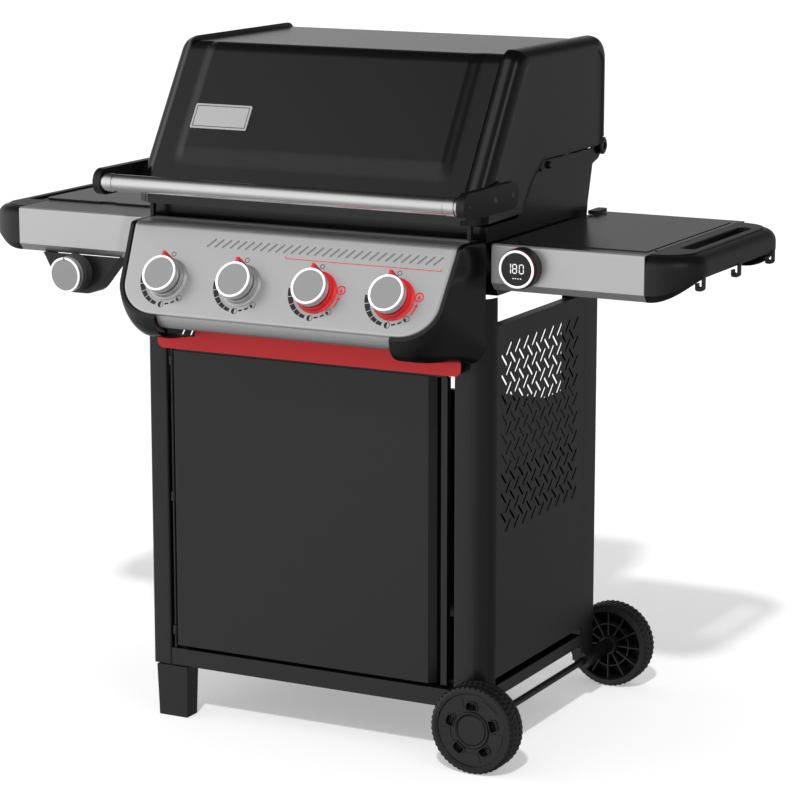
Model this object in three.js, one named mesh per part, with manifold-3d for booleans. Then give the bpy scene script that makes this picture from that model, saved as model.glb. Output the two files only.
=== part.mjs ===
// Gas barbecue grill on a wheeled cart: four main burners, a side burner under a flush cover,
// two side tables, a hinged lid, a cabinet door and a slide-out grease tray.
// Millimetres. X runs to the right seen from the front, -Y is the front, Z is up, the floor is z = 0.
import * as THREE from "three";
import { mergeVertices } from "three/addons/utils/BufferGeometryUtils.js";
import Module from "manifold-3d";

const wasm = await Module();
wasm.setup();

// ---------------------------------------------------------------- driving dimensions
const GAP = 0.3;                    // clearance between pieces that touch
const ORIGIN_Y = 18.3;              // moves the model so that its box is centred on the origin
const SHEET = 2;                    // folded steel sheet

const CART = { x: 324.2, front: -217.8, rear: 223, top: 789.5, bottom: 93.6 };
const LEG = { frontBack: -181.8, rearFront: 168, leftInner: 288, rightInner: 262.6 };
const SHELF = { top: 130.5, bottom: 109.5 };
const SIDE_PANEL = { bottom: 144, top: 742 };
const WHEEL = { x: 319.5, radius: 76.2, width: 45.3, front: -265.7, rear: 294.3 };
const AXLE_RADIUS = 6;

const LID = { x: 325, seam: 294, front: -259.5, rear: 251, bottom: 915, knee: 942, top: 1176 };
const LID_SLOPE = 0.6437;           // how far the front leans back for each mm of height
const LID_RAISE = 8;                // the centre of the lid stands this proud
const HINGE = { y: 236, z: 993, radius: 5 };
const HANDLE = { y: -335.6, z: 956.7, radius: 14.5, armX: [331, 345], armHalf: 22, armBack: -171 };
const BOX = { x: 318, wall: 3, bottom: 790 };
const RACK = { front: 40, rear: 165, z: 984 };

const FACE_TILT = THREE.MathUtils.degToRad(28.5);   // the control panel leans back by this much
const FACE_ORIGIN = new THREE.Vector3(0, -333, 800.8);
const FACE = { top: 89.5, lip: -63, corner: -2, topX: 303, cornerX: 296, lipX: 228 };
const CAP_MARGIN = 8;               // black band that the end caps show round the face
const NOSE_REAR = { y: -227, x: 324.2, top: 889, bottom: 690, radius: 35 };
const BAND_X = 219.4;               // half length of the lower band between the caps
const KNOB_X = [-212, -70.7, 70.7, 212];
const KNOB = { radius: 30.8, back: 16.5, front: 33, stem: 4, travel: 3 };
const BEZEL = { radius: 32, height: 13 };
const BURNER_Z = 835;

const TABLE = { inner: 325.2, outer: 592.6, end: 672, front: -210.3, rear: 224, top: 881.5, skirt: 835, corner: 74 };
const FASCIA = { bend: 818, bottom: 805.4, setback: 11 };
const SIDE_BURNER = { x: -480, y: 42 };
const COVER = { left: -606, right: -347, front: -105, rear: 182 };
const SIDE_KNOB = { x: -478, face: -211, z: 774 };
const GAUGE = { x: 384.7, z: 848.8, radius: 33, front: -238.5 };

// ---------------------------------------------------------------- solids and shapes
const AXIS_MATRIX = {
  x: new THREE.Matrix4().makeBasis(
    new THREE.Vector3(0, 1, 0), new THREE.Vector3(0, 0, 1), new THREE.Vector3(1, 0, 0)),
  y: new THREE.Matrix4().makeBasis(
    new THREE.Vector3(1, 0, 0), new THREE.Vector3(0, 0, 1), new THREE.Vector3(0, -1, 0)),
  z: new THREE.Matrix4(),
};

function toSolid(geometry) {
  const bare = geometry.clone();
  bare.deleteAttribute("normal");
  bare.deleteAttribute("uv");
  const merged = mergeVertices(bare);
  return new wasm.Manifold(new wasm.Mesh({
    numProp: 3,
    vertProperties: Float32Array.from(merged.attributes.position.array),
    triVerts: Uint32Array.from(merged.index.array),
  }));
}

function toGeometry(solid) {
  const { vertProperties, triVerts } = solid.getMesh();
  const geometry = new THREE.BufferGeometry();
  geometry.setAttribute("position", new THREE.BufferAttribute(vertProperties, 3));
  geometry.setIndex(new THREE.BufferAttribute(triVerts, 1));
  geometry.computeVertexNormals();
  return geometry;
}

function box(x0, x1, y0, y1, z0, z1) {
  const geometry = new THREE.BoxGeometry(x1 - x0, y1 - y0, z1 - z0);
  geometry.translate((x0 + x1) / 2, (y0 + y1) / 2, (z0 + z1) / 2);
  return toSolid(geometry);
}

// A prism along an axis. Points are (y, z) for axis x, (x, z) for axis y and (x, y) for axis z.
function prism(axis, points, from, to) {
  const shape = new THREE.Shape(points.map(([u, v]) => new THREE.Vector2(u, v)));
  const geometry = new THREE.ExtrudeGeometry(shape, { depth: to - from, bevelEnabled: false });
  geometry.translate(0, 0, axis === "y" ? -to : from);
  geometry.applyMatrix4(AXIS_MATRIX[axis]);
  return toSolid(geometry);
}

// A round bar along an axis. The centre is (y, z) for axis x, (x, z) for y and (x, y) for z.
function rod(axis, [u, v], radius, from, to, segments = 16) {
  const geometry = new THREE.CylinderGeometry(radius, radius, to - from, segments);
  const middle = (from + to) / 2;
  if (axis === "x") {
    geometry.rotateZ(-Math.PI / 2);
    geometry.translate(middle, u, v);
  } else if (axis === "y") {
    geometry.translate(u, middle, v);
  } else {
    geometry.rotateX(Math.PI / 2);
    geometry.translate(u, v, middle);
  }
  return toSolid(geometry);
}

function join(first, ...others) {
  return others.reduce((whole, solid) => whole.add(solid), first);
}

function cut(first, ...others) {
  return others.reduce((whole, solid) => whole.subtract(solid), first);
}

// A closed skin over rings of equal length, flat at both ends.
function loft(rings, flatten) {
  const count = rings[0].length;
  const positions = rings.flat().flatMap((p) => [p.x, p.y, p.z]);
  const indices = [];
  for (let ring = 0; ring < rings.length - 1; ring += 1) {
    for (let i = 0; i < count; i += 1) {
      const a = ring * count + i;
      const b = ring * count + ((i + 1) % count);
      indices.push(a, b, b + count, a, b + count, a + count);
    }
  }
  const last = (rings.length - 1) * count;
  for (const [a, b, c] of THREE.ShapeUtils.triangulateShape(rings[0].map(flatten), [])) {
    indices.push(a, c, b);
  }
  for (const [a, b, c] of THREE.ShapeUtils.triangulateShape(rings.at(-1).map(flatten), [])) {
    indices.push(last + a, last + b, last + c);
  }
  const geometry = new THREE.BufferGeometry();
  geometry.setAttribute("position", new THREE.Float32BufferAttribute(positions, 3));
  geometry.setIndex(indices);
  return toSolid(geometry);
}

// Rounds each corner that has a radius: points are [u, v, radius].
function rounded(points, steps = 5, closed = false) {
  const result = [];
  points.forEach(([u, v, radius = 0], i) => {
    const isEnd = !closed && (i === 0 || i === points.length - 1);
    if (!radius || isEnd) {
      result.push([u, v]);
      return;
    }
    const corner = new THREE.Vector2(u, v);
    const before = new THREE.Vector2(...points.at(i - 1)).sub(corner).normalize();
    const after = new THREE.Vector2(...points[(i + 1) % points.length]).sub(corner).normalize();
    const half = Math.acos(THREE.MathUtils.clamp(before.dot(after), -1, 1)) / 2;
    const bisector = before.clone().add(after).normalize();
    const centre = corner.clone().addScaledVector(bisector, radius / Math.sin(half));
    const reach = radius / Math.tan(half);
    const start = corner.clone().addScaledVector(before, reach).sub(centre);
    const end = corner.clone().addScaledVector(after, reach).sub(centre);
    const turn = Math.atan2(start.cross(end), start.dot(end));
    for (let step = 0; step <= steps; step += 1) {
      const spoke = start.clone().rotateAround(new THREE.Vector2(), (turn * step) / steps);
      result.push([centre.x + spoke.x, centre.y + spoke.y]);
    }
  });
  return result;
}

// The closed outline of a folded sheet: the path, and the same path set over to its left.
function ribbon(path, thickness = SHEET) {
  const heading = (a, b) => new THREE.Vector2(b[0] - a[0], b[1] - a[1]).normalize();
  const inner = path.map((point, i) => {
    const before = i > 0 ? heading(path[i - 1], point) : heading(point, path[i + 1]);
    const after = i < path.length - 1 ? heading(point, path[i + 1]) : before;
    const left = new THREE.Vector2(-before.y, before.x);
    const right = new THREE.Vector2(-after.y, after.x);
    const reach = thickness / (1 + left.dot(right));
    return [point[0] + (left.x + right.x) * reach, point[1] + (left.y + right.y) * reach];
  });
  return [...path, ...inner.reverse()];
}

const mirrored = (points) => points.map(([u, v]) => [-u, v]).reverse();

// ---------------------------------------------------------------- materials
const finish = (color, roughness, metalness) => () =>
  new THREE.MeshStandardMaterial({ color, roughness, metalness });
const blackPaint = finish(0x333436, 0.5, 0.3);
const enamel = finish(0x26272a, 0.25, 0.3);
const silverPaint = finish(0xb0b1b3, 0.45, 0.4);
const blackPlastic = finish(0x222326, 0.6, 0);
const greyPlastic = finish(0x9b9c9e, 0.45, 0.2);
const redPaint = finish(0xb82d33, 0.4, 0.2);
const steel = finish(0xc9cacc, 0.25, 0.9);
const castIron = finish(0x1f1f20, 0.7, 0.4);
const rubber = finish(0x2b2b2d, 0.8, 0);

const grill = new THREE.Group();
const model = new THREE.Group();
model.position.set(0, ORIGIN_Y, 0);
grill.add(model);

function add(name, solid, material, parent = model) {
  const mesh = new THREE.Mesh(toGeometry(solid), material());
  mesh.name = name;
  parent.add(mesh);
  return mesh;
}

// ---------------------------------------------------------------- cart: legs, feet, rails, panels
function frontLegPaths() {
  const left = [
    [-CART.x, LEG.frontBack], [-CART.x, CART.front, 4],
    [-LEG.leftInner, CART.front, 4], [-LEG.leftInner, LEG.frontBack],
  ];
  const right = [
    [LEG.rightInner, LEG.frontBack], [LEG.rightInner, CART.front, 4],
    [CART.x, CART.front, 34], [CART.x, LEG.frontBack],
  ];
  return { left: rounded(left, 3), right: rounded(right, 5) };
}

function rearLegPaths() {
  const left = [
    [-LEG.leftInner, 205], [-LEG.leftInner, CART.rear, 4],
    [-CART.x, CART.rear, 4], [-CART.x, LEG.rearFront],
  ];
  const right = [
    [CART.x, LEG.rearFront], [CART.x, CART.rear, 4],
    [LEG.rightInner, CART.rear, 4], [LEG.rightInner, 205],
  ];
  return { left: rounded(left, 3), right: rounded(right, 3) };
}

// A lobe below a right leg that carries the axle, with the axle's hole through it.
function axleLobe(from, to) {
  const { x, radius } = WHEEL;
  const lobe = join(box(x - 19, x + 4, from, to, radius, CART.bottom + 6), rod("y", [x, radius], 15, from, to));
  return cut(lobe, rod("y", [x, radius], AXLE_RADIUS + 0.8, from - 1, to + 1));
}

function makeLegs() {
  const front = frontLegPaths();
  const rear = rearLegPaths();
  const leg = (path) => prism("z", ribbon(path), CART.bottom, CART.top);
  add("leg_front_left", leg(front.left), blackPaint);
  add("leg_rear_left", leg(rear.left), blackPaint);
  add("leg_front_right", join(leg(front.right), axleLobe(CART.front + 1, CART.front + 5)), blackPaint);
  const sleeve = rod("y", [WHEEL.x, WHEEL.radius], 13, CART.rear - 3, WHEEL.rear - 1);
  const bore = rod("y", [WHEEL.x, WHEEL.radius], AXLE_RADIUS + 0.8, CART.rear - 40, WHEEL.rear + 1);
  const bracket = axleLobe(LEG.rearFront + 16, CART.rear - 1);
  add("leg_rear_right", cut(join(leg(rear.right), bracket, sleeve), bore), blackPaint);
}

// A foot narrows a little towards the floor.
function makeFoot(name, front, rear) {
  const top = CART.bottom - GAP;
  const ring = (inset, z) => [
    new THREE.Vector3(-316 + inset, front + inset, z), new THREE.Vector3(-254 - inset, front + inset, z),
    new THREE.Vector3(-254 - inset, rear - inset, z), new THREE.Vector3(-316 + inset, rear - inset, z),
  ];
  add(name, loft([ring(2.5, 0), ring(0, top)], (p) => new THREE.Vector2(p.x, p.y)), blackPlastic);
}

function makeCartSheets() {
  const sideFrom = LEG.frontBack + GAP;
  const sideTo = LEG.rearFront - GAP;
  const sidePath = [[CART.x - 18, SIDE_PANEL.bottom], [CART.x, SIDE_PANEL.bottom],
    [CART.x, SIDE_PANEL.top], [CART.x - 18, SIDE_PANEL.top]];
  add("side_panel_right", prism("y", ribbon(sidePath), sideFrom, sideTo), blackPaint);
  add("side_panel_left", prism("y", mirrored(ribbon(sidePath)), sideFrom, sideTo), blackPaint);

  const backFrom = -LEG.leftInner + GAP;
  const backTo = LEG.rightInner - GAP;
  const backPath = [[CART.rear - 20, 541], [CART.rear - 6, 541], [CART.rear - 6, SHELF.bottom],
    [CART.rear - 20, SHELF.bottom]].reverse();
  add("back_panel", prism("x", ribbon(backPath), backFrom, backTo), blackPaint);

  const shelf = cut(
    box(-CART.x, CART.x, sideFrom, sideTo, SHELF.bottom, SHELF.top),
    box(-CART.x + SHEET, CART.x - SHEET, sideFrom + SHEET, sideTo - SHEET, 0, SHELF.top - SHEET));
  add("bottom_shelf", shelf, blackPaint);

  const railPath = [[LEG.frontBack, 124.5], [CART.front, 124.5], [CART.front, CART.bottom],
    [CART.front + 18, CART.bottom]];
  add("front_rail", prism("x", ribbon(railPath), backFrom, backTo), blackPaint);
}

function makeHeatShieldRail() {
  const outline = rounded([
    [-288.5, 665, 12], [288.5, 665, 12], [288.5, 689], [214, 689], [214, 735], [-214, 735],
    [-214, 689], [-288.5, 689],
  ], 4, true);
  const plate = prism("y", outline, -246, -244);
  const lowerFold = box(-276, 276, -245, CART.front - 3, 665, 667);
  add("heat_shield_rail", join(plate, lowerFold), redPaint);
}

// ---------------------------------------------------------------- door, axle and wheels
const DOOR = { left: -273.7, front: -221, bottom: 132, top: 656, hingeX: -279.5, hingeY: -215, pin: 2.5 };

function makeDoor() {
  const path = [
    [DOOR.left, -209], [DOOR.left, DOOR.front, 3], [217.5, DOOR.front], [229.8, -212], [229.8, -200],
    [240.5, -200], [240.5, -219], [251.5, -219], [251.5, -206],
  ];
  let door = prism("z", ribbon(rounded(path, 3)), DOOR.bottom, DOOR.top);
  const edges = [DOOR.bottom, DOOR.top - SHEET].map(
    (z) => box(DOOR.left, 217.5, DOOR.front + 1, -209, z, z + SHEET));
  door = join(door, ...edges);
  for (const z of [150, 390, 630]) {
    const barrel = cut(
      join(
        rod("z", [DOOR.hingeX, DOOR.hingeY], 5, z, z + 16, 12),
        box(DOOR.hingeX, DOOR.left + 1, DOOR.hingeY - 1, DOOR.hingeY + 1, z, z + 16)),
      rod("z", [DOOR.hingeX, DOOR.hingeY], DOOR.pin + 0.5, z - 1, z + 17, 12));
    door = join(door, barrel);
  }
  add("door_panel", door, blackPaint);
  const pin = rod("z", [DOOR.hingeX, DOOR.hingeY], DOOR.pin, DOOR.bottom - 7, DOOR.top + 8, 12);
  add("door_hinge_rod", pin, steel);
}

function makeAxle() {
  const { x, radius, front, rear, width } = WHEEL;
  add("axle", rod("y", [x, radius], AXLE_RADIUS, front + 6, rear + width - 6), steel);
}

// The tread, a thin web near the outer face, and a hub on the axle. Profile is radius, depth.
function makeWheel(name, outerFace, inward) {
  const { radius, width, x } = WHEEL;
  const profile = [
    [AXLE_RADIUS + 1, 0], [70, 1.5], [radius, 7], [radius, width - 3], [64, width], [60, 9],
    [19, 9], [17, width], [AXLE_RADIUS + 1, width],
    [AXLE_RADIUS + 1, 0],
  ];
  const lathe = new THREE.LatheGeometry(
    profile.map(([r, depth]) => new THREE.Vector2(r, inward * depth)), 36);
  if (inward < 0) {
    lathe.index.array.reverse();
  }
  lathe.translate(x, outerFace, radius);
  add(name, toSolid(lathe), rubber);
}

// ---------------------------------------------------------------- cookbox and what is in it
function makeCookbox() {
  const outline = [
    [-170, BOX.bottom], [170, BOX.bottom], [187, 901], [212, 990], [-20, 992], [-60, 955], [-97, 908],
    [-212, 908], [-212, 880],
  ];
  const inside = [
    [-167, 793], [167, 793], [184, 902], [209, 991], [209, 1100], [-209, 1100], [-209, 881],
  ];
  let firebox = cut(
    prism("x", outline, -BOX.x, BOX.x),
    prism("x", inside, -BOX.x + BOX.wall, BOX.x - BOX.wall),
    box(-150, 150, -80, 80, BOX.bottom - 1, BOX.bottom + 10));
  for (const x of KNOB_X) {
    firebox = cut(firebox, rod("y", [x, BURNER_Z], 13.5, -230, -180));
  }
  for (const side of [-1, 1]) {
    const across = (a, b) => [side * a, side * b].sort((p, q) => p - q);
    const railWeb = box(...across(160.5, 162.5), -125, 175, 745.5, BOX.bottom + 1);
    const railLip = box(...across(150, 162.5), -125, 175, 745.5, 747.5);
    firebox = join(firebox, railWeb, railLip);
    for (const y of [RACK.front, RACK.rear]) {
      const tab = box(...across(BOX.x - BOX.wall - 8, BOX.x - 1), y - 5, y + 5, RACK.z - 9, RACK.z - 3);
      firebox = join(firebox, tab);
    }
    const [inner, outer] = across(BOX.x - BOX.wall, BOX.x);
    const ear = prism("x", [[190, 960], [230, 972], [243, 984], [243, 1000], [232, 1003], [190, 989]], inner, outer);
    firebox = join(firebox, ear);
    firebox = cut(firebox, rod("x", [HINGE.y, HINGE.z], HINGE.radius + 0.4, inner - 5, outer + 5));
  }
  add("cookbox", firebox, enamel);
}

function makeBurners() {
  KNOB_X.forEach((x, i) => {
    const tube = cut(
      rod("y", [x, BURNER_Z], 12, -249, 150),
      rod("y", [x, BURNER_Z], 10.5, -251, 148));
    add(`burner_tube_${i + 1}`, tube, steel);
  });
}

// A cast grate: a frame, lengthwise bars and two cross ribs.
function makeGrate(name, x0, x1) {
  const [y0, y1, z0, z1] = [-204, 181, 888, 903];
  const bar = 7;
  let grate = cut(box(x0, x1, y0, y1, z0, z1), box(x0 + bar, x1 - bar, y0 + bar, y1 - bar, z0 - 1, z1 + 1));
  const count = 10;
  const pitch = (x1 - x0 - bar) / (count + 1);
  for (let i = 1; i <= count; i += 1) {
    const x = x0 + i * pitch;
    grate = join(grate, box(x, x + bar, y0 + 3, y1 - 3, z0 + 2, z1 - 1));
  }
  for (const y of [-80, 55]) {
    grate = join(grate, box(x0 + 4, x1 - 4, y, y + bar, z0 + 1, z1 - 4));
  }
  add(name, grate, castIron);
}

function makeWarmingRack() {
  const { front, rear, z } = RACK;
  const wire = 2.5;
  const half = BOX.x - BOX.wall - 1;
  let rack = join(rod("x", [front, z], wire, -half, half, 6), rod("x", [rear, z], wire, -half, half, 6));
  for (let i = 0; i <= 10; i += 1) {
    const x = -275 + i * 55;
    rack = join(rack, rod("y", [x, z], wire, front - 1, rear + 1, 4));
  }
  add("warming_rack", rack, steel);
}

// The gas rail, an L-shaped valve casting behind each knob, and the inlet at its right end.
function makeManifold() {
  const valve = [[-302, 772], [-276, 758], [-262, 776], [-250, 822], [-250, 848], [-262, 848], [-288, 800]];
  let manifold = rod("x", [-281, 776], 9, -240, 262);
  for (const x of KNOB_X) {
    manifold = join(manifold, prism("x", valve, x - 11, x + 11));
  }
  manifold = join(manifold, rod("x", [-281, 776], 12, 250, 266, 6));
  add("gas_manifold", manifold, steel);
}

function makeGreaseParts() {
  const tray = cut(box(-160, 160, -120, 170, 748, 785), box(-157, 157, -117, 167, 752, 800),
    box(-30, 30, -30, 30, 740, 760));
  add("grease_tray", tray, steel);
  const pan = cut(box(-110, 110, -80, 80, 705, 747.5), box(-108, 108, -78, 78, 707, 760));
  add("catch_pan", pan, steel);
}

// ---------------------------------------------------------------- lid and handle
// The lid's outline in (y, z) as seen from the side, drawn in by the given amounts.
function lidOutline(front, top, rear) {
  const high = LID.top - top;
  const lean = (high - LID.knee) * LID_SLOPE;
  return rounded([
    [LID.rear - rear, LID.bottom], [LID.rear - rear, high, 28],
    [LID.front + front + lean, high, 34], [LID.front + front, LID.knee, 20],
    [LID.front + front, LID.bottom],
  ], 4);
}

const lidRing = (x, front, top, rear) => lidOutline(front, top, rear).map(([y, z]) => new THREE.Vector3(x, y, z));
const sideView = (p) => new THREE.Vector2(p.y, p.z);

function makeLidEnd(name, side) {
  // From the seam: a chamfer, then a rounded edge into the flat side.
  const shell = (skin) => {
    const rings = [lidRing(side * (LID.seam + GAP - (skin ? 1 : 0)), skin, skin, skin)];
    rings.push(lidRing(side * 309.6, 11.4 + skin, skin, skin));
    for (const part of [0.35, 0.7, 1]) {
      const round = 1 - Math.sqrt(1 - part * part);
      const x = 309.6 + (LID.x - skin - 309.6) * part;
      rings.push(lidRing(side * x, 11.4 + 30.1 * round + skin, 15 * round + skin, 20 * round + skin));
    }
    return loft(side > 0 ? rings : rings.reverse(), sideView);
  };
  const reach = [side * 280, side * 340].sort((a, b) => a - b);
  const lowerEdge = prism("x", [
    [-95, 900], [300, 900], [300, 1009], [233, 1009], [226, 1001], [212, 996], [-10, 996], [-52, 966], [-92, 919],
  ], ...reach);
  const hinge = [side * 319.5, side * 325].sort((a, b) => a - b);
  const lug = cut(rod("x", [HINGE.y, HINGE.z], 15, ...hinge, 20),
    rod("x", [HINGE.y, HINGE.z], HINGE.radius + 0.4, hinge[0] - 1, hinge[1] + 1));
  const pinHole = rod("x", [HINGE.y, HINGE.z], HINGE.radius + 0.4, ...reach);
  const body = cut(shell(0), shell(2.5), lowerEdge, pinHole);
  add(name, join(body, lug), enamel);
}

// The middle sheet of the lid: flat shoulders at its ends and a raised centre.
function makeLidShroud() {
  const section = (x, raise) => {
    const high = LID.top + raise;
    const slant = (z) => LID.front + (z - LID.knee) * LID_SLOPE;
    const proud = raise * 1.19;
    const path = rounded([
      [LID.front, LID.bottom], [LID.front, LID.knee, 20], [slant(978), 978],
      [slant(1012) - proud, 1012], [slant(high) - proud, high, 34], [LID.rear, high, 28], [LID.rear, 1009],
    ], 4).reverse();
    return ribbon(path).map(([y, z]) => new THREE.Vector3(x, y, z));
  };
  const rings = [[-LID.seam, 0], [-262, 0], [-240, LID_RAISE], [240, LID_RAISE], [262, 0], [LID.seam, 0]]
    .map(([x, raise]) => section(x, raise));
  add("lid_shroud", loft(rings, sideView), enamel);
}

function makeHandle() {
  const [near, far] = HANDLE.armX;
  add("handle_tube", rod("x", [HANDLE.y, HANDLE.z], HANDLE.radius, -near + GAP, near - GAP, 24), steel);
  for (const [name, side] of [["handle_arm_left", -1], ["handle_arm_right", 1]]) {
    const [x0, x1] = side < 0 ? [-far, -near] : [near, far];
    const z0 = HANDLE.z - HANDLE.armHalf;
    const z1 = HANDLE.z + HANDLE.armHalf;
    const bar = join(
      box(x0, x1, HANDLE.y + 6, HANDLE.armBack, z0, z1),
      rod("x", [HANDLE.y + 6, HANDLE.z], HANDLE.armHalf, x0, x1, 24),
      rod("x", [HANDLE.armBack, HANDLE.z], HANDLE.armHalf, x0, x1, 24));
    const [s0, s1] = side < 0 ? [-near - 1, -LID.x - GAP] : [LID.x + GAP, near + 1];
    const spacer = box(s0, s1, -214, -155, HANDLE.z - 16, HANDLE.z + 16);
    add(name, join(bar, spacer), blackPlastic);
  }
}

function makeHingePins() {
  for (const [name, side] of [["lid_hinge_pin_left", -1], ["lid_hinge_pin_right", 1]]) {
    const [from, to] = [side * 308, side * 324].sort((a, b) => a - b);
    add(name, rod("x", [HINGE.y, HINGE.z], HINGE.radius, from, to), steel);
  }
}

// ---------------------------------------------------------------- control panel, caps and knobs
// A frame on the panel's face: x to the right, y up the face, z straight out of it.
const faceFrame = new THREE.Matrix4().makeRotationX(Math.PI / 2 - FACE_TILT).setPosition(FACE_ORIGIN);
const onFace = (x, up, out = 0) => new THREE.Vector3(x, up, out).applyMatrix4(faceFrame);

// The nose's outline: two straight sides, two big lower corners, and a flat top and bottom.
function noseRing(point) {
  const ring = [point(-1, 1, 0)];
  const steps = 7;
  for (let i = 0; i <= steps; i += 1) {
    ring.push(point(-1, 0, (i / steps) * (Math.PI / 2)));
  }
  for (let i = steps; i >= 0; i -= 1) {
    ring.push(point(1, 0, (i / steps) * (Math.PI / 2)));
  }
  ring.push(point(1, 1, 0));
  return ring;
}

function noseRings(skin, backExtra) {
  const cornerX = FACE.cornerX + CAP_MARGIN - skin;
  const lipX = FACE.lipX - skin;
  const front = noseRing((side, top, angle) => {
    if (top) {
      return onFace(side * (FACE.topX + CAP_MARGIN - skin), FACE.top - skin, -skin);
    }
    const x = lipX + (cornerX - lipX) * Math.cos(angle);
    const up = FACE.corner + (FACE.lip + skin - FACE.corner) * Math.sin(angle);
    return onFace(side * x, up, -skin);
  });
  const rear = noseRing((side, top, angle) => {
    const { x, y, radius } = NOSE_REAR;
    if (top) {
      return new THREE.Vector3(side * (x - skin), y + backExtra, NOSE_REAR.top - skin);
    }
    const reach = x - skin - radius * (1 - Math.cos(angle));
    const low = NOSE_REAR.bottom + skin + radius * (1 - Math.sin(angle));
    return new THREE.Vector3(side * reach, y + backExtra, low);
  });
  const lowest = Math.min(...front.map((point) => point.z));
  // Between them the top rolls over and the bottom drops below the straight line.
  const between = (part, lift, drop) => front.map((point, i) => {
    const blend = point.clone().lerp(rear[i], part);
    const fromTop = (point.z - lowest) / (front[0].z - lowest);
    blend.z += fromTop > 0.99 ? lift : -drop * Math.max(0, 1 - fromTop * 2.5);
    return blend;
  });
  return [front, between(0.15, 5, 16), between(0.4, 4, 12), rear];
}

const frontView = (p) => new THREE.Vector2(p.x, p.z);

function faceOutline(margin) {
  const half = [[FACE.topX + margin, FACE.top + 1]];
  const steps = 7;
  for (let i = 0; i <= steps; i += 1) {
    const angle = (i / steps) * (Math.PI / 2);
    half.push([
      FACE.lipX + (FACE.cornerX + margin - FACE.lipX) * Math.cos(angle),
      FACE.corner + (FACE.lip - margin - FACE.corner) * Math.sin(angle),
    ]);
  }
  return [...half.map(([x, up]) => [-x, up]), ...half.reverse()];
}

function facePrism(margin, from, to) {
  const shape = new THREE.Shape(faceOutline(margin).map(([x, y]) => new THREE.Vector2(x, y)));
  const geometry = new THREE.ExtrudeGeometry(shape, { depth: to - from, bevelEnabled: false });
  geometry.translate(0, 0, from);
  geometry.applyMatrix4(faceFrame);
  return toSolid(geometry);
}

function faceRod(x, radius, from, to, segments = 24) {
  const geometry = new THREE.CylinderGeometry(radius, radius, to - from, segments);
  geometry.rotateX(Math.PI / 2);
  geometry.translate(x, 0, (from + to) / 2);
  geometry.applyMatrix4(faceFrame);
  return toSolid(geometry);
}

function makeControlPanel() {
  const flip = (rings) => loft(rings.slice().reverse(), frontView);
  const shell = cut(flip(noseRings(0, 0)), flip(noseRings(2.5, 5)), box(-BAND_X + 4, BAND_X - 4, -340, -200, 600, 745));
  const topRoll = box(-FACE.topX, FACE.topX, -300, -200, 868, 900);
  const middle = box(-BAND_X, BAND_X, -420, -200, 600, 760);
  let panel = shell.intersect(join(facePrism(0, -6, 3), topRoll, middle));
  for (const x of KNOB_X) {
    panel = join(panel, faceRod(x, BEZEL.radius, -1, BEZEL.height, 20));
    panel = cut(panel, faceRod(x, KNOB.stem + 2, -8, BEZEL.height + 1, 12));
  }
  add("control_panel", panel, silverPaint);

  const kept = join(facePrism(GAP, -12, 4),
    box(-FACE.topX - GAP, FACE.topX + GAP, -300, -200, 868 - GAP, 900),
    box(-BAND_X - GAP, BAND_X + GAP, -420, -200, 600, 760));
  const caps = cut(shell, kept, box(-BAND_X - 2, BAND_X + 2, -420, -200, 600, 900));
  add("panel_cap_left", caps.intersect(box(-340, -200, -420, -200, 600, 900)), blackPlastic);
  add("panel_cap_right", caps.intersect(box(200, 340, -420, -200, 600, 900)), blackPlastic);
}

// A round knob with a fin along its top that points at the dial.
function knobSolid() {
  const body = new THREE.LatheGeometry([
    [0, KNOB.back], [KNOB.radius - 1, KNOB.back], [KNOB.radius, KNOB.back + 1], [KNOB.radius, KNOB.front - 1],
    [KNOB.radius - 1, KNOB.front], [KNOB.radius - 4, KNOB.front], [KNOB.radius - 5, KNOB.front - 1],
    [0, KNOB.front - 1],
  ].map(([r, h]) => new THREE.Vector2(r, h)), 24);
  body.rotateX(Math.PI / 2);
  const fin = [
    [25, 17.5], [BEZEL.radius + 1.2, 17.5], [BEZEL.radius + 1.2, 3.6], [36.5, 3.6], [39.5, KNOB.front],
    [25, KNOB.front - 2],
  ];
  const shape = new THREE.Shape(fin.map(([u, v]) => new THREE.Vector2(u, v)));
  const finGeometry = new THREE.ExtrudeGeometry(shape, { depth: 5, bevelEnabled: false });
  finGeometry.translate(0, 0, -2.5);
  finGeometry.applyMatrix4(new THREE.Matrix4().makeBasis(
    new THREE.Vector3(0, 1, 0), new THREE.Vector3(0, 0, 1), new THREE.Vector3(1, 0, 0)));
  return cut(
    join(toSolid(body), toSolid(finGeometry)),
    rod("z", [0, 0], KNOB.stem + GAP, KNOB.back - 1, KNOB.back + 9));
}

function makeKnobs() {
  KNOB_X.forEach((x, i) => {
    const seat = new THREE.Group();
    seat.rotation.x = Math.PI / 2 - FACE_TILT;
    seat.position.set(x, FACE_ORIGIN.y, FACE_ORIGIN.z);
    model.add(seat);
    add(`knob_${i + 1}`, knobSolid(), greyPlastic, seat);
    add(`valve_stem_${i + 1}`, rod("z", [0, 0], KNOB.stem, -30, KNOB.back + 8), steel, seat);
  });
}

// ---------------------------------------------------------------- side tables
function makeFascia(name, side) {
  const path = [
    [TABLE.front + 8, TABLE.top], [TABLE.front, TABLE.top, 4], [TABLE.front, FASCIA.bend],
    [TABLE.front + FASCIA.setback, FASCIA.bottom], [TABLE.front + 30, FASCIA.bottom],
  ];
  const [from, to] = [side * (TABLE.inner + GAP), side * (TABLE.outer - GAP)].sort((a, b) => a - b);
  add(name, prism("x", ribbon(rounded(path, 3)), from, to), silverPaint);
}

function tablePan(side) {
  const [from, to] = [side * TABLE.inner, side * (TABLE.outer - GAP)].sort((a, b) => a - b);
  const front = TABLE.front + 8 + GAP;
  return cut(
    box(from, to, front, TABLE.rear, TABLE.skirt, TABLE.top),
    box(from + 3, to - 3, front + 3, TABLE.rear - 3, TABLE.skirt - 1, TABLE.top - 3));
}

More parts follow.
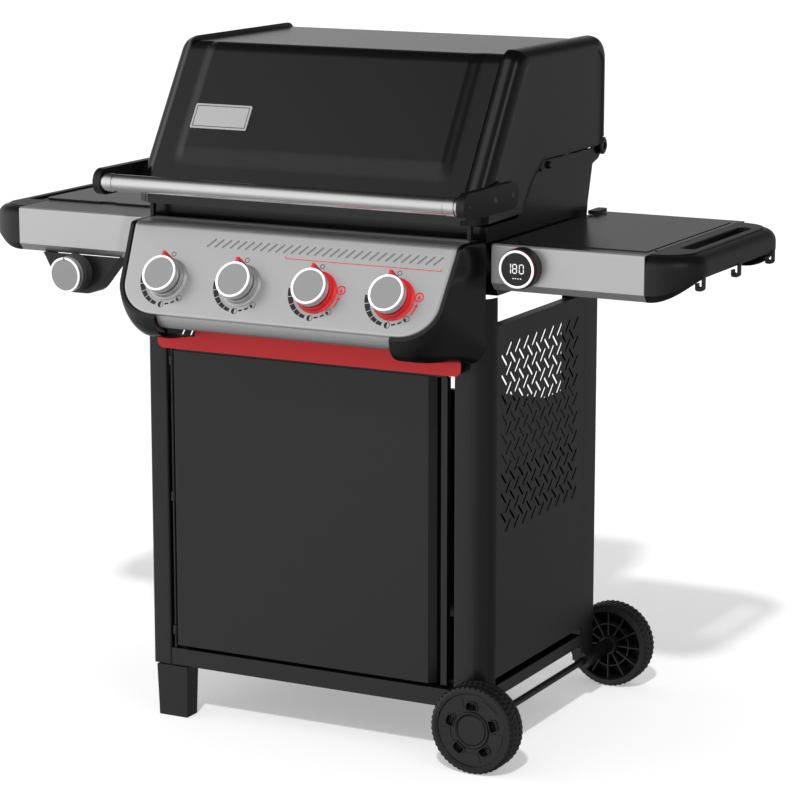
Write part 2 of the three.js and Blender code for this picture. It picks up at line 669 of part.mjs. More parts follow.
function makeTables() {
  const groove = box(578, 584, -148, 201, TABLE.top - 1.2, TABLE.top + 1);
  add("table_right", cut(tablePan(1), groove), blackPaint);

  // The left table has a basin for the side burner.
  const [x0, x1, y0, y1] = [COVER.left + 28, COVER.right - 12, COVER.front + 12, COVER.rear - 14];
  const basin = cut(box(x0 - 2, x1 + 2, y0 - 2, y1 + 2, 832, TABLE.top - 1), box(x0, x1, y0, y1, 834, 900));
  const opening = box(x0, x1, y0, y1, TABLE.top - 5, 900);
  add("table_left", join(cut(tablePan(-1), opening), basin), blackPaint);
}

// The underside of an end cap rises from the fascia towards the end, as (x, z).
const CAP_RISE = 37;
function capUnderside() {
  const run = TABLE.end - TABLE.outer;
  const points = [];
  for (let part = 0; part <= 1.05; part += 0.15) {
    points.push([TABLE.outer + run * part, FASCIA.bottom + CAP_RISE * part ** 2.2]);
  }
  return [...points, [points.at(-1)[0], FASCIA.bottom - 5], [TABLE.outer, FASCIA.bottom - 5]];
}

// A moulded end for a table: rounded corners, a soft top edge, a finger slot, three hooks and an open underside.
function makeEndCap(name, side) {
  const inner = TABLE.outer + GAP;
  const ring = (inset, z, wall = 0) => rounded([
    [inner + wall, TABLE.front + inset], [TABLE.end - inset, TABLE.front + inset, TABLE.corner - inset],
    [TABLE.end - inset, TABLE.rear - inset, TABLE.corner - inset], [inner + wall, TABLE.rear - inset],
  ], 6, true).map(([x, y]) => new THREE.Vector3(x, y, z));
  const plan = (p) => new THREE.Vector2(p.x, p.y);
  const skin = 3;
  const levels = [[10, FASCIA.bottom], [0, FASCIA.bend], [0, 864], [4, 876], [12, TABLE.top + 1]];
  const outside = loft(levels.map(([inset, z]) => ring(inset, z)), plan);
  const inside = loft(levels.map(([inset, z], i) => (
    ring(inset + skin, i === 0 ? z - 1 : Math.min(z, TABLE.top - skin) - (i === 3 ? 2 : 0), skin))), plan);
  const slot = box(612, 636, -112, 148, 800, 900);
  const coverClearance = box(500, 620, -300, 300, TABLE.top, TABLE.top + 5);
  let cap = cut(outside, inside, slot, coverClearance, prism("y", capUnderside().reverse(), -300, 300));
  for (const y of [-150, 5, 160]) {
    const hook = [[670.5, 850], [667, 850], [667, 827], [660, 827], [660, 834], [656, 834], [656, 822], [670.5, 822]];
    cap = join(cap, prism("y", hook, y - 5, y + 5));
  }
  const solid = side > 0 ? cap : cap.mirror([1, 0, 0]);
  add(name, solid, blackPlastic);
}

// ---------------------------------------------------------------- side burner
function makeSideBurner() {
  const { x, y } = SIDE_BURNER;
  const head = join(
    rod("z", [x, y], 42, 842, 856, 24), rod("z", [x, y], 20, 834.3, 843), rod("z", [x, y], 36, 855, 861, 24));
  add("side_burner_head", head, castIron);

  let grate = cut(rod("z", [x, y], 96, 866, 872, 32), rod("z", [x, y], 90, 860, 880, 32));
  for (let i = 0; i < 4; i += 1) {
    const arm = box(-92, -26, -3, 3, 866, 877).rotate([0, 0, 45 + 90 * i]).translate([x, y, 0]);
    const foot = box(-92, -86, -3, 3, 834.3, 867).rotate([0, 0, 45 + 90 * i]).translate([x, y, 0]);
    grate = join(grate, arm, foot);
  }
  add("side_burner_grate", grate, castIron);

  const { left, right, front, rear } = COVER;
  const low = TABLE.top + GAP;
  let cover = cut(
    box(left, right, front, rear, low, low + 6),
    box(left + 3, right - 3, front + 3, rear - 3, low - 1, low + 4));
  for (const lugX of [left + 40, right - 40]) {
    cover = join(cover, rod("x", [rear, low + 3], 3, lugX - 12, lugX + 12, 12));
  }
  add("side_burner_cover", cover, blackPaint);

  // A folded pan that tapers down to a round end under the knob.
  const pan = (inset, from, to) => prism("y", rounded([
    [-546 + inset * 1.8, FASCIA.bottom - GAP], [-509 + inset, 738 + inset, 34 - inset],
    [-443 - inset, 738 + inset, 34 - inset], [-388 - inset * 1.8, FASCIA.bottom - GAP],
  ], 5, true), from, to);
  const plate = cut(pan(0, -206, -171), pan(2.5, -203, -170));
  const stemHole = rod("y", [SIDE_KNOB.x, SIDE_KNOB.z], 6, -220, -190);
  add("side_burner_bracket", cut(plate, stemHole), blackPaint);

  const seat = new THREE.Group();
  seat.rotation.x = Math.PI / 2;
  seat.position.set(SIDE_KNOB.x, SIDE_KNOB.face, SIDE_KNOB.z);
  model.add(seat);
  add("side_burner_knob", knobSolid(), greyPlastic, seat);
  add("side_burner_stem", rod("z", [0, 0], KNOB.stem, -40, KNOB.back + 8), steel, seat);
}

function makeGauge() {
  const { x, z, radius, front } = GAUGE;
  const housing = join(
    rod("y", [x, z], radius, front + 8, TABLE.front - GAP, 32),
    rod("y", [x, z], radius - 2.5, front, front + 9, 32));
  add("gauge", cut(housing, rod("y", [x, z], radius - 6, front - 1, front + 2, 32)), blackPlastic);
}

// ---------------------------------------------------------------- assembly
makeLegs();
makeFoot("foot_front_left", -222, -184);
makeFoot("foot_rear_left", 184, 222);
makeCartSheets();
makeHeatShieldRail();
makeDoor();
makeAxle();
makeWheel("wheel_front", WHEEL.front, 1);
makeWheel("wheel_rear", WHEEL.rear + WHEEL.width, -1);
makeCookbox();
makeBurners();
makeGrate("cooking_grate_left", -313, -1);
makeGrate("cooking_grate_right", 1, 313);
makeWarmingRack();
makeManifold();
makeGreaseParts();
makeLidEnd("lid_end_left", -1);
makeLidEnd("lid_end_right", 1);
makeLidShroud();
makeHandle();
makeHingePins();
makeControlPanel();
makeKnobs();
makeTables();
makeFascia("fascia_left", -1);
makeFascia("fascia_right", 1);
makeEndCap("end_cap_left", -1);
makeEndCap("end_cap_right", 1);
makeSideBurner();
makeGauge();

export default grill;
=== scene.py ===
"""Looks for the gas barbecue grill: detailed pieces, materials, floor, light and camera.

Sizes are millimetres in the drawing's frame. metres() turns a point into the row's frame.
X runs to the right seen from the front, -Y is the front and the floor is at zero.
"""
import math

import bmesh
import bpy
from mathutils import Matrix, Vector
from mathutils.geometry import delaunay_2d_cdt


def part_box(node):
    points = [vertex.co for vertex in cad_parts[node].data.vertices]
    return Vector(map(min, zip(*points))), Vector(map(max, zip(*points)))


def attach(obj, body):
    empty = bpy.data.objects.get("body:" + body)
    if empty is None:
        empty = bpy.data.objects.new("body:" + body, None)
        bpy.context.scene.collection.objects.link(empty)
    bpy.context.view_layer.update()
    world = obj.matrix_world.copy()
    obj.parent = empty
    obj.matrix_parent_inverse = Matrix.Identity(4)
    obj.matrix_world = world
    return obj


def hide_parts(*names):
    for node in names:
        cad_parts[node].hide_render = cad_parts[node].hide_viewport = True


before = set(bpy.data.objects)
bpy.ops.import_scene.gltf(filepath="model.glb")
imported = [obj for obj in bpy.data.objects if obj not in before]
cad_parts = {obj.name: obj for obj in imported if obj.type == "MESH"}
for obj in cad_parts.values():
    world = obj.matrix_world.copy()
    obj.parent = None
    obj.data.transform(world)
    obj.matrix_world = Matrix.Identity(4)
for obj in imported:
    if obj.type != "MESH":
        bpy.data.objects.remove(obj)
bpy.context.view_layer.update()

TABLE_REAR = 224.0
SHIFT_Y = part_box("table_left")[1].y * 1000 - TABLE_REAR


def metres(point):
    """A point of the drawing, in metres in the row's frame."""
    return Vector((point[0], point[1] + SHIFT_Y, point[2])) * 0.001


# ---------------------------------------------------------------- outlines
def arc(cx, cy, radius, start, end, steps):
    """Points along a circle between two angles in degrees."""
    angles = [math.radians(start + (end - start) * i / steps) for i in range(steps + 1)]
    return [(cx + radius * math.cos(a), cy + radius * math.sin(a)) for a in angles]


def circle(cx, cy, radius, steps=40):
    return arc(cx, cy, radius, 0, 360, steps)[:-1]


def rectangle(x0, x1, y0, y1, radius=0.0):
    return rounded([(x0, y0, radius), (x1, y0, radius), (x1, y1, radius), (x0, y1, radius)], 5)


def rounded(points, steps=8, closed=True):
    """Rounds each corner that has a radius: points are (u, v) or (u, v, radius)."""
    result = []
    for i, point in enumerate(points):
        corner = Vector(point[:2])
        radius = point[2] if len(point) > 2 else 0.0
        if not radius or (not closed and i in (0, len(points) - 1)):
            result.append(tuple(corner))
            continue
        before = (Vector(points[i - 1][:2]) - corner).normalized()
        after = (Vector(points[(i + 1) % len(points)][:2]) - corner).normalized()
        half = math.acos(max(-1.0, min(1.0, before.dot(after)))) / 2
        centre = corner + (before + after).normalized() * (radius / math.sin(half))
        start = corner + before * (radius / math.tan(half)) - centre
        end = corner + after * (radius / math.tan(half)) - centre
        turn = math.atan2(start.x * end.y - start.y * end.x, start.dot(end))
        for step in range(steps + 1):
            c = math.cos(turn * step / steps)
            s = math.sin(turn * step / steps)
            result.append((centre.x + c * start.x - s * start.y, centre.y + s * start.x + c * start.y))
    return result


def offset(path, distance, closed=False):
    """The path moved to its left by a distance."""
    result = []
    for i, point in enumerate(path):
        here = Vector(point)
        ahead = Vector(path[(i + 1) % len(path)]) - here
        behind = here - Vector(path[i - 1])
        if not closed and i == 0:
            behind = ahead
        if not closed and i == len(path) - 1:
            ahead = behind
        left = Vector((-behind.y, behind.x)).normalized()
        right = Vector((-ahead.y, ahead.x)).normalized()
        reach = distance / max(0.3, 1 + left.dot(right))
        result.append(tuple(here + (left + right) * reach))
    return result


def smoothstep(part):
    part = max(0.0, min(1.0, part))
    return part * part * (3 - 2 * part)


# How an outline's (u, v) and a depth w become a point: each looks along one axis.
def seen_from_front(u, v, w):
    return (u, w, v)


def seen_from_side(u, v, w):
    return (w, u, v)


def seen_from_top(u, v, w):
    return (u, v, w)


# ---------------------------------------------------------------- meshes
def lies_inside(x, y, loop):
    """Whether a point is inside a closed outline."""
    inside = False
    for (x0, y0), (x1, y1) in zip(loop, loop[1:] + loop[:1]):
        if (y0 > y) != (y1 > y) and x < x0 + (y - y0) * (x1 - x0) / (y1 - y0):
            inside = not inside
    return inside


def triangulate(outline, holes):
    """Triangles over an outline with holes, and the edges along its rims."""
    points, edges = [], []
    for loop in [outline, *holes]:
        base = len(points)
        points += [Vector(p[:2]) for p in loop]
        edges += [(base + i, base + (i + 1) % len(loop)) for i in range(len(loop))]
    flat, _, faces, *_ = delaunay_2d_cdt(points, edges, [], 1, 1e-5)
    spans = [(min(u for u, _ in h), max(u for u, _ in h), min(v for _, v in h), max(v for _, v in h), list(h))
             for h in holes]

    def in_hole(face):
        x = sum(flat[i].x for i in face) / 3
        y = sum(flat[i].y for i in face) / 3
        return any(x0 < x < x1 and y0 < y < y1 and lies_inside(x, y, h) for x0, x1, y0, y1, h in spans)

    faces = [face for face in faces if not in_hole(face)]
    directed = {(f[i], f[(i + 1) % 3]) for f in faces for i in range(3)}
    rims = [(a, b) for a, b in directed if (b, a) not in directed]
    return [(p.x, p.y) for p in flat], [list(f) for f in faces], rims


class Shape:
    """Points in millimetres and the faces over them."""

    def __init__(self):
        self.points = []
        self.faces = []

    def add(self, points, faces):
        base = len(self.points)
        self.points += [tuple(p) for p in points]
        self.faces += [[base + i for i in face] for face in faces]
        return self

    def grid(self, rows, closed=False):
        """A skin over rows of equal length. Closed joins a row's end to its start."""
        count = len(rows[0])
        faces = []
        for r in range(len(rows) - 1):
            for i in range(count if closed else count - 1):
                j = (i + 1) % count
                faces.append([r * count + i, r * count + j, (r + 1) * count + j, (r + 1) * count + i])
        return self.add([p for row in rows for p in row], faces)

    def face(self, outline, place, w, holes=()):
        """One flat skin with holes."""
        flat, triangles, _ = triangulate(outline, holes)
        return self.add([place(u, v, w) for u, v in flat], triangles)

    def slab(self, outline, place, near, far, holes=()):
        """A flat plate with holes, from depth near to depth far."""
        flat, triangles, rims = triangulate(outline, holes)
        count = len(flat)
        faces = triangles + [[count + i for i in reversed(t)] for t in triangles]
        faces += [[b, a, count + a, count + b] for a, b in rims]
        points = [place(u, v, near) for u, v in flat] + [place(u, v, far) for u, v in flat]
        return self.add(points, faces)

    def lathe(self, profile, place, steps=64):
        """Turns a profile of (radius, depth) all the way round the axis of depth."""
        angles = [math.radians(360.0 * i / steps) for i in range(steps)]
        rows = [[place(r * math.cos(a), r * math.sin(a), w) for a in angles] for r, w in profile]
        return self.grid(rows, closed=True)

    def box(self, x0, x1, y0, y1, z0, z1):
        return self.slab([(x0, y0), (x1, y0), (x1, y1), (x0, y1)], seen_from_top, z0, z1)


def about(place, cu, cv):
    """The same placing with its origin moved to (cu, cv)."""
    return lambda u, v, w: place(u + cu, v + cv, w)


def mesh_from(name, shape):
    mesh = bpy.data.meshes.new(name)
    build = bmesh.new()
    vertices = [build.verts.new(metres(p)) for p in shape.points]
    for face in shape.faces:
        corners = [vertices[i] for i in face]
        if len(set(face)) == len(face) and build.faces.get(corners) is None:
            build.faces.new(corners)
    bmesh.ops.remove_doubles(build, verts=build.verts, dist=2e-6)
    bmesh.ops.dissolve_degenerate(build, edges=build.edges, dist=1e-7)
    bmesh.ops.recalc_face_normals(build, faces=build.faces)
    build.to_mesh(mesh)
    build.free()
    return mesh


def piece(name, shape, body, material, replaced=(), bevel=0.0, sheet=0.0, smooth=32, segments=3):
    """A shown piece. sheet is the thickness given to an open skin, bevel the radius on its edges."""
    mesh = mesh_from(name, shape)
    obj = bpy.data.objects.new(name, mesh)
    bpy.context.scene.collection.objects.link(obj)
    mesh.materials.append(material)
    if sheet:
        thick = obj.modifiers.new("sheet", "SOLIDIFY")
        thick.thickness = sheet * 0.001
        thick.offset = -1.0
        thick.use_even_offset = False
    if bevel:
        add_bevel(obj, bevel, segments)
    mesh.polygons.foreach_set("use_smooth", [True] * len(mesh.polygons))
    add_smoothing(obj, smooth)
    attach(obj, body)
    if replaced:
        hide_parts(*replaced)
    return obj


def add_bevel(obj, radius, segments=3, angle=33):
    bevel = obj.modifiers.new("edges", "BEVEL")
    bevel.width = radius * 0.001
    bevel.segments = segments
    bevel.limit_method = "ANGLE"
    bevel.angle_limit = math.radians(angle)
    bevel.use_clamp_overlap = True
    bevel.harden_normals = False


_smoothing = {}


def smoothing_group(angle):
    """A node group that shades smooth, with sharp edges above an angle."""
    if angle in _smoothing:
        return _smoothing[angle]
    group = bpy.data.node_groups.new(f"smooth_{angle}", "GeometryNodeTree")
    group.interface.new_socket("Geometry", in_out="INPUT", socket_type="NodeSocketGeometry")
    group.interface.new_socket("Geometry", in_out="OUTPUT", socket_type="NodeSocketGeometry")
    source = group.nodes.new("NodeGroupInput")
    target = group.nodes.new("NodeGroupOutput")
    faces = group.nodes.new("GeometryNodeSetShadeSmooth")
    faces.domain = "FACE"
    edges = group.nodes.new("GeometryNodeSetShadeSmooth")
    edges.domain = "EDGE"
    edges.inputs["Shade Smooth"].default_value = False
    turn = group.nodes.new("GeometryNodeInputMeshEdgeAngle")
    compare = group.nodes.new("ShaderNodeMath")
    compare.operation = "GREATER_THAN"
    compare.inputs[1].default_value = math.radians(angle)
    link = group.links.new
    link(source.outputs[0], faces.inputs["Geometry"])
    link(faces.outputs[0], edges.inputs["Geometry"])
    link(turn.outputs["Unsigned Angle"], compare.inputs[0])
    link(compare.outputs[0], edges.inputs["Selection"])
    link(edges.outputs[0], target.inputs[0])
    _smoothing[angle] = group
    return group


def add_smoothing(obj, angle):
    obj.modifiers.new("smooth", "NODES").node_group = smoothing_group(angle)
    even = obj.modifiers.new("even", "WEIGHTED_NORMAL")
    even.mode = "FACE_AREA"
    even.keep_sharp = True


def carry(name, material, bevel=0.6, smooth=32, segments=2):
    """Keeps a CAD node, with soft edges and a finish."""
    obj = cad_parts[name]
    weld = obj.modifiers.new("weld", "WELD")
    weld.merge_threshold = 2e-5
    if bevel:
        add_bevel(obj, bevel, segments)
    add_smoothing(obj, smooth)
    obj.data.materials.clear()
    obj.data.materials.append(material)
    return obj


# ---------------------------------------------------------------- materials
def finish_of(name, colour, roughness, metallic=0.0, grain=900.0, relief=0.05, spread=0.04,
              stretch=(1.0, 1.0, 1.0), specular=0.5):
    """A painted, cast or brushed finish with a fine grain."""
    material = bpy.data.materials.new(name)
    material.use_nodes = True
    nodes = material.node_tree.nodes
    link = material.node_tree.links.new
    shader = nodes["Principled BSDF"]
    shader.inputs["Base Color"].default_value = (*colour, 1.0)
    shader.inputs["Metallic"].default_value = metallic
    shader.inputs["Specular IOR Level"].default_value = specular
    where = nodes.new("ShaderNodeTexCoord")
    scale = nodes.new("ShaderNodeMapping")
    scale.inputs["Scale"].default_value = stretch
    noise = nodes.new("ShaderNodeTexNoise")
    noise.inputs["Scale"].default_value = grain
    noise.inputs["Detail"].default_value = 2.0
    span = nodes.new("ShaderNodeMapRange")
    span.inputs["To Min"].default_value = roughness - spread
    span.inputs["To Max"].default_value = roughness + spread
    bump = nodes.new("ShaderNodeBump")
    bump.inputs["Strength"].default_value = relief
    bump.inputs["Distance"].default_value = 0.0002
    link(where.outputs["Object"], scale.inputs["Vector"])
    link(scale.outputs["Vector"], noise.inputs["Vector"])
    link(noise.outputs["Fac"], span.inputs["Value"])
    link(span.outputs["Result"], shader.inputs["Roughness"])
    link(noise.outputs["Fac"], bump.inputs["Height"])
    link(bump.outputs["Normal"], shader.inputs["Normal"])
    return material


BLACK_PAINT = finish_of("black_paint", (0.0030, 0.0030, 0.0032), 0.30, grain=1400, relief=0.08)
TABLE_PAINT = finish_of("table_paint", (0.0045, 0.0045, 0.0048), 0.26, grain=1600, relief=0.14)
ENAMEL = finish_of("enamel", (0.0025, 0.0025, 0.0026), 0.17, grain=300, relief=0.01, spread=0.02)
BOX_ENAMEL = finish_of("cookbox_enamel", (0.0028, 0.0028, 0.0028), 0.26, grain=500, relief=0.04)
SILVER_PAINT = finish_of("silver_paint", (0.55, 0.55, 0.555), 0.36, metallic=0.82, grain=2200, relief=0.03)
BADGE_METAL = finish_of("badge_metal", (0.62, 0.62, 0.63), 0.32, metallic=0.8, grain=1800, relief=0.02)
BLACK_PLASTIC = finish_of("black_plastic", (0.0032, 0.0032, 0.0034), 0.36, grain=1200, relief=0.08)
GLOSS_PLASTIC = finish_of("gloss_black_plastic", (0.0025, 0.0025, 0.0027), 0.24, grain=600, relief=0.02)
GREY_PLASTIC = finish_of("grey_plastic", (0.20, 0.20, 0.204), 0.42, grain=1500, relief=0.02, specular=0.3)
DARK_GREY = finish_of("dark_grey_plastic", (0.035, 0.035, 0.036), 0.4, grain=1500, relief=0.03)
MARK_GREY = finish_of("mark_grey", (0.15, 0.15, 0.152), 0.5, grain=1500, relief=0.02, specular=0.2)
RED_PAINT = finish_of("red_paint", (0.55, 0.016, 0.020), 0.36, grain=1500, relief=0.03, specular=0.3)
RED_GLOSS = finish_of("red_plastic", (0.53, 0.012, 0.016), 0.24, grain=700, relief=0.01)
POLISHED = finish_of("brushed_steel", (0.80, 0.79, 0.79), 0.24, metallic=1.0, grain=900, relief=0.004,
                     spread=0.03, stretch=(0.02, 1.0, 1.0))
# Painted highlight: a flat white finish on the knob and gauge rings stands in for the shine of polished
# metal.
PAINTED_HIGHLIGHT_TRIM = finish_of("painted_highlight_trim", (0.88, 0.88, 0.88), 0.25, grain=900, relief=0.01)
STEEL = finish_of("steel", (0.50, 0.50, 0.51), 0.34, metallic=1.0, grain=900, relief=0.05)
DARK_STEEL = finish_of("blackened_steel", (0.004, 0.004, 0.004), 0.35, grain=900, relief=0.05)
CAST_IRON = finish_of("cast_iron", (0.008, 0.008, 0.008), 0.55, grain=700, relief=0.5)
BRASS = finish_of("brass", (0.62, 0.42, 0.17), 0.35, metallic=1.0, grain=700, relief=0.1)
WHEEL_PLASTIC = finish_of("wheel_plastic", (0.0042, 0.0042, 0.0044), 0.42, grain=1100, relief=0.10)
DARK_INK = finish_of("dark_ink", (0.012, 0.012, 0.013), 0.5, grain=1500, relief=0.02)
WHITE_INK = finish_of("white_ink", (0.80, 0.82, 0.85), 0.5, grain=1500, relief=0.02)

# ---------------------------------------------------------------- carried CAD nodes
CARRIED = {
    "black_paint": (BLACK_PAINT, 0.8, [
        "leg_front_left", "leg_rear_left", "leg_front_right", "leg_rear_right", "bottom_shelf",
        "front_rail", "back_panel", "door_panel"]),
    "enamel": (BOX_ENAMEL, 1.0, ["cookbox"]),
    "silver_paint": (SILVER_PAINT, 0.8, ["fascia_left", "fascia_right"]),
    "black_plastic": (BLACK_PLASTIC, 1.5, ["foot_front_left", "foot_rear_left"]),
    "steel": (STEEL, 0.5, [
        "grease_tray", "catch_pan", "warming_rack", "lid_hinge_pin_left",
        "lid_hinge_pin_right", "side_burner_stem", *(f"valve_stem_{i}" for i in range(1, 5)),
        *(f"burner_tube_{i}" for i in range(1, 5))]),
    "cast_iron": (CAST_IRON, 0.8, [
        "cooking_grate_left", "cooking_grate_right", "side_burner_head", "side_burner_grate"]),
    "valve_brass": (BRASS, 0.6, ["gas_manifold"]),
    "red_paint": (RED_PAINT, 0.5, ["heat_shield_rail"]),
}
for slot_name, (material, radius, names) in CARRIED.items():
    for node_name in names:
        carry(node_name, material, radius)
carry("table_left", TABLE_PAINT, 1.2)
carry("axle", DARK_STEEL, 0.5)
carry("door_hinge_rod", DARK_STEEL, 0.3)

# ---------------------------------------------------------------- lid
LID_FRONT, LID_REAR, LID_BOTTOM, LID_KNEE, LID_TOP = -259.5, 251.0, 915.0, 942.0, 1176.0
LID_SEAM, LID_X, LID_SLOPE = 294.0, 325.0, 0.6437
HINGE_Y, HINGE_Z = 236.0, 993.0
BADGE_Z = 1057.5
# A lid end starts at END_X, and its outer corner begins to turn at END_TURN.
END_X, END_TURN, END_RADIUS = 295.1, 309.6, 15.401


def slant(z):
    return LID_FRONT + (z - LID_KNEE) * LID_SLOPE


def shroud_section(lift):
    """The lid's middle in (y, z), from the front's lower edge over the top. lift pushes its front out."""
    proud = lift * 1.19
    lower = rounded([(LID_FRONT, LID_BOTTOM), (LID_FRONT, LID_KNEE, 20), (slant(978), 978)], 8, closed=False)
    ramp = [978 + 34 * k / 8 for k in range(1, 8)]
    upper = rounded([(slant(1012) - proud, 1012), (slant(LID_TOP) - proud, LID_TOP, 34),
                     (LID_REAR, LID_TOP, 28), (LID_REAR, 1009)], 12, closed=False)
    return lower + [(slant(z) - proud * smoothstep((z - 978) / 34), z) for z in ramp] + upper


def make_lid_shroud():
    half = [(LID_SEAM - 0.3, 0.0), (268, 0.0)]
    half += [(262 - 22 * k / 8, 8 * smoothstep(k / 8)) for k in range(9)]
    half += [(160, 8.0), (60, 8.0)]
    stations = [(-x, lift) for x, lift in half] + [(x, lift) for x, lift in reversed(half)]
    flange = offset(shroud_section(0), -4)
    rows = [[(-LID_SEAM + 0.3, y, z) for y, z in flange]]
    rows += [[(x, y, z) for y, z in shroud_section(lift)] for x, lift in stations]
    rows += [[(LID_SEAM - 0.3, y, z) for y, z in flange]]
    piece("lid_shroud_skin", Shape().grid(rows), "lid", ENAMEL, ["lid_shroud"], sheet=2, smooth=40)


def end_section(front, top, rear):
    high = LID_TOP - top
    lean = (high - LID_KNEE) * LID_SLOPE
    return rounded([(LID_FRONT + front, LID_BOTTOM), (LID_FRONT + front, LID_KNEE, 20),
                    (LID_FRONT + front + lean, high, 34), (LID_REAR - rear, high, 28),
                    (LID_REAR - rear, 1009)], 12, closed=False)


def make_lid_end(name, side):
    shape = Shape()
    outer = end_section(1.2, -7, 0)
    under = offset(end_section(1.2, 0, 0), -7)
    sections = [(289.0, under), (294.5, under), (294.5, offset(outer, -1)), (END_X, outer)]
    for k in range(1, 15):
        part = k / 14
        x = END_X + (LID_X - END_X) * math.sin(math.pi / 2 * part)
        round_off = max(0.0, (x - END_TURN) / END_RADIUS)
        front = min(11.4, 11.4 * (x - END_X) / 14.5) + 30.1 * (1 - math.sqrt(1 - round_off ** 2))
        top = -7 + 22 * (1 - math.cos(math.pi / 2 * part))
        rear = 20 * (1 - math.sqrt(1 - round_off ** 2))
        sections.append((x, end_section(front, top, rear)))
    shape.grid([[(side * x, y, z) for y, z in path] for x, path in sections])
    lower = rounded([(213, 996, 8), (-8, 996, 26), (-52, 966, 30), (-93, 917)], 5, closed=False)
    outline = sections[-1][1] + [(226, 1003)] + lower
    rim = offset(outline, -1.5, closed=True)
    dish = offset(outline, -5, closed=True)
    levels = [(LID_X, outline), (LID_X - 0.4, rim), (LID_X - 2.2, dish)]
    shape.grid([[(side * x, y, z) for y, z in path] for x, path in levels], closed=True)
    shape.face(dish, seen_from_side, side * (LID_X - 2.2))
    piece(name + "_skin", shape, "lid", ENAMEL, [name], sheet=2.4, smooth=40)
    hinge = Shape().lathe([(6, 0), (14, 0), (15, 1), (15, 5), (12, 6), (11, 7), (6, 7)],
                          lambda u, v, w: (side * (319.5 + w), HINGE_Y + u, HINGE_Z + v), 40)
    piece(name + "_hinge", hinge, "lid", ENAMEL, smooth=30)


def make_badge():
    """A blank plate with a fine dark line inside its edge, flat on the front of the lid."""
    lean = math.atan(LID_SLOPE)

    def place(u, v, w):
        z = BADGE_Z + v * math.cos(lean) + w * math.sin(lean)
        return (u, slant(BADGE_Z) - 9.6 + v * math.sin(lean) - w * math.cos(lean), z)

    plate = Shape().slab(rectangle(-241, -132, -23, 23, 2.5), place, 0.2, 3.0)
    piece("lid_badge", plate, "lid", BADGE_METAL, bevel=0.5)
    inset = rectangle(-236.4, -136.6, -18.4, 18.4, 1.2)
    line = Shape().slab(rectangle(-237.6, -135.4, -19.6, 19.6, 1.6), place, 2.95, 3.1, [inset])
    piece("lid_badge_line", line, "lid", DARK_INK)


def make_handle():
    y, z = -335.6, 956.7
    half = [(0, 330.7), (12.8, 330.7), (13.6, 330), (13.6, 326), (15.0, 325.4), (15.2, 324.6), (15.2, 311),
            (15.0, 310.2), (13.9, 309.6), (13.9, 306.4), (14.5, 305.8), (14.5, 100)]
    whole = half + [(r, -w) for r, w in reversed(half)]
    tube = Shape().lathe(whole, about(seen_from_side, y, z), 64)
    piece("handle_tube_finish", tube, "lid", POLISHED, ["handle_tube"], smooth=30)
    for name, side in (("handle_arm_left", -1), ("handle_arm_right", 1)):
        outline = arc(-171, z, 22, -90, 90, 20) + arc(-329.6, z, 22, 90, 270, 20)
        near, far = sorted((side * 331, side * 345))
        arm = Shape().slab(outline, seen_from_side, near, far)
        near, far = sorted((side * 325.3, side * 332))
        arm.slab(rounded([(-214, z - 16, 5), (-155, z - 16, 5), (-155, z + 16, 5), (-214, z + 16, 5)]),
                 seen_from_side, near, far)
        piece(name + "_body", arm, "lid", BLACK_PLASTIC, [name], bevel=3, segments=4)
        caps = Shape()
        for cy, radius in ((-329.6, 2.0), (-236, 5.0), (-171, 5.0)):
            profile = [(0, 345.1), (radius * 0.45, 345.1), (radius * 0.5, 345.7), (radius - 0.6, 345.7),
                       (radius, 345.1), (radius, 344), (0, 344)]
            caps.lathe(profile, about(lambda u, v, w: (side * w, u, v), cy, z), 32)
        piece(name + "_screws", caps, "lid", DARK_GREY, smooth=30)


# ---------------------------------------------------------------- control panel
TILT = math.radians(28.5)
KNOB_X = (-212.0, -70.7, 70.7, 212.0)
BEZEL_FOOT = 36.6


def on_face(x, up, out=0.0):
    """A point on the panel's face: up runs up the face and out straight out of it."""
    y = -333 + up * math.sin(TILT) - out * math.cos(TILT)
    return (x, y, 800.8 + up * math.cos(TILT) + out * math.sin(TILT))


def face_half(margin, steps=16):
    """The right half of the face's edge: the top corner, then the big lower corner."""
    turns = [math.pi / 2 * i / steps for i in range(steps + 1)]
    curve = [(228 + (68 + margin) * math.cos(a), -2 - (61 + margin) * math.sin(a)) for a in turns]
    return [(303 + margin, 89.5)] + curve


def face_edge(margin):
    half = face_half(margin)
    return [(-x, up) for x, up in half] + half[::-1]


def roll_section():
    """The top of the panel as it rolls back to the lid: points (y, z) and their normals."""
    _, y, z = on_face(0, 89.5)
    centre = (y + 15 * math.cos(TILT), z - 15 * math.sin(TILT))
    start = math.degrees(math.pi - TILT)
    stations = []
    for i in range(9):
        angle = math.radians(start + (92.5 - start) * i / 8)
        normal = (math.cos(angle), math.sin(angle))
        stations.append(((centre[0] + 15 * normal[0], centre[1] + 15 * normal[1]), normal))
    return stations + [((-227, 888.9), (0, 1))]


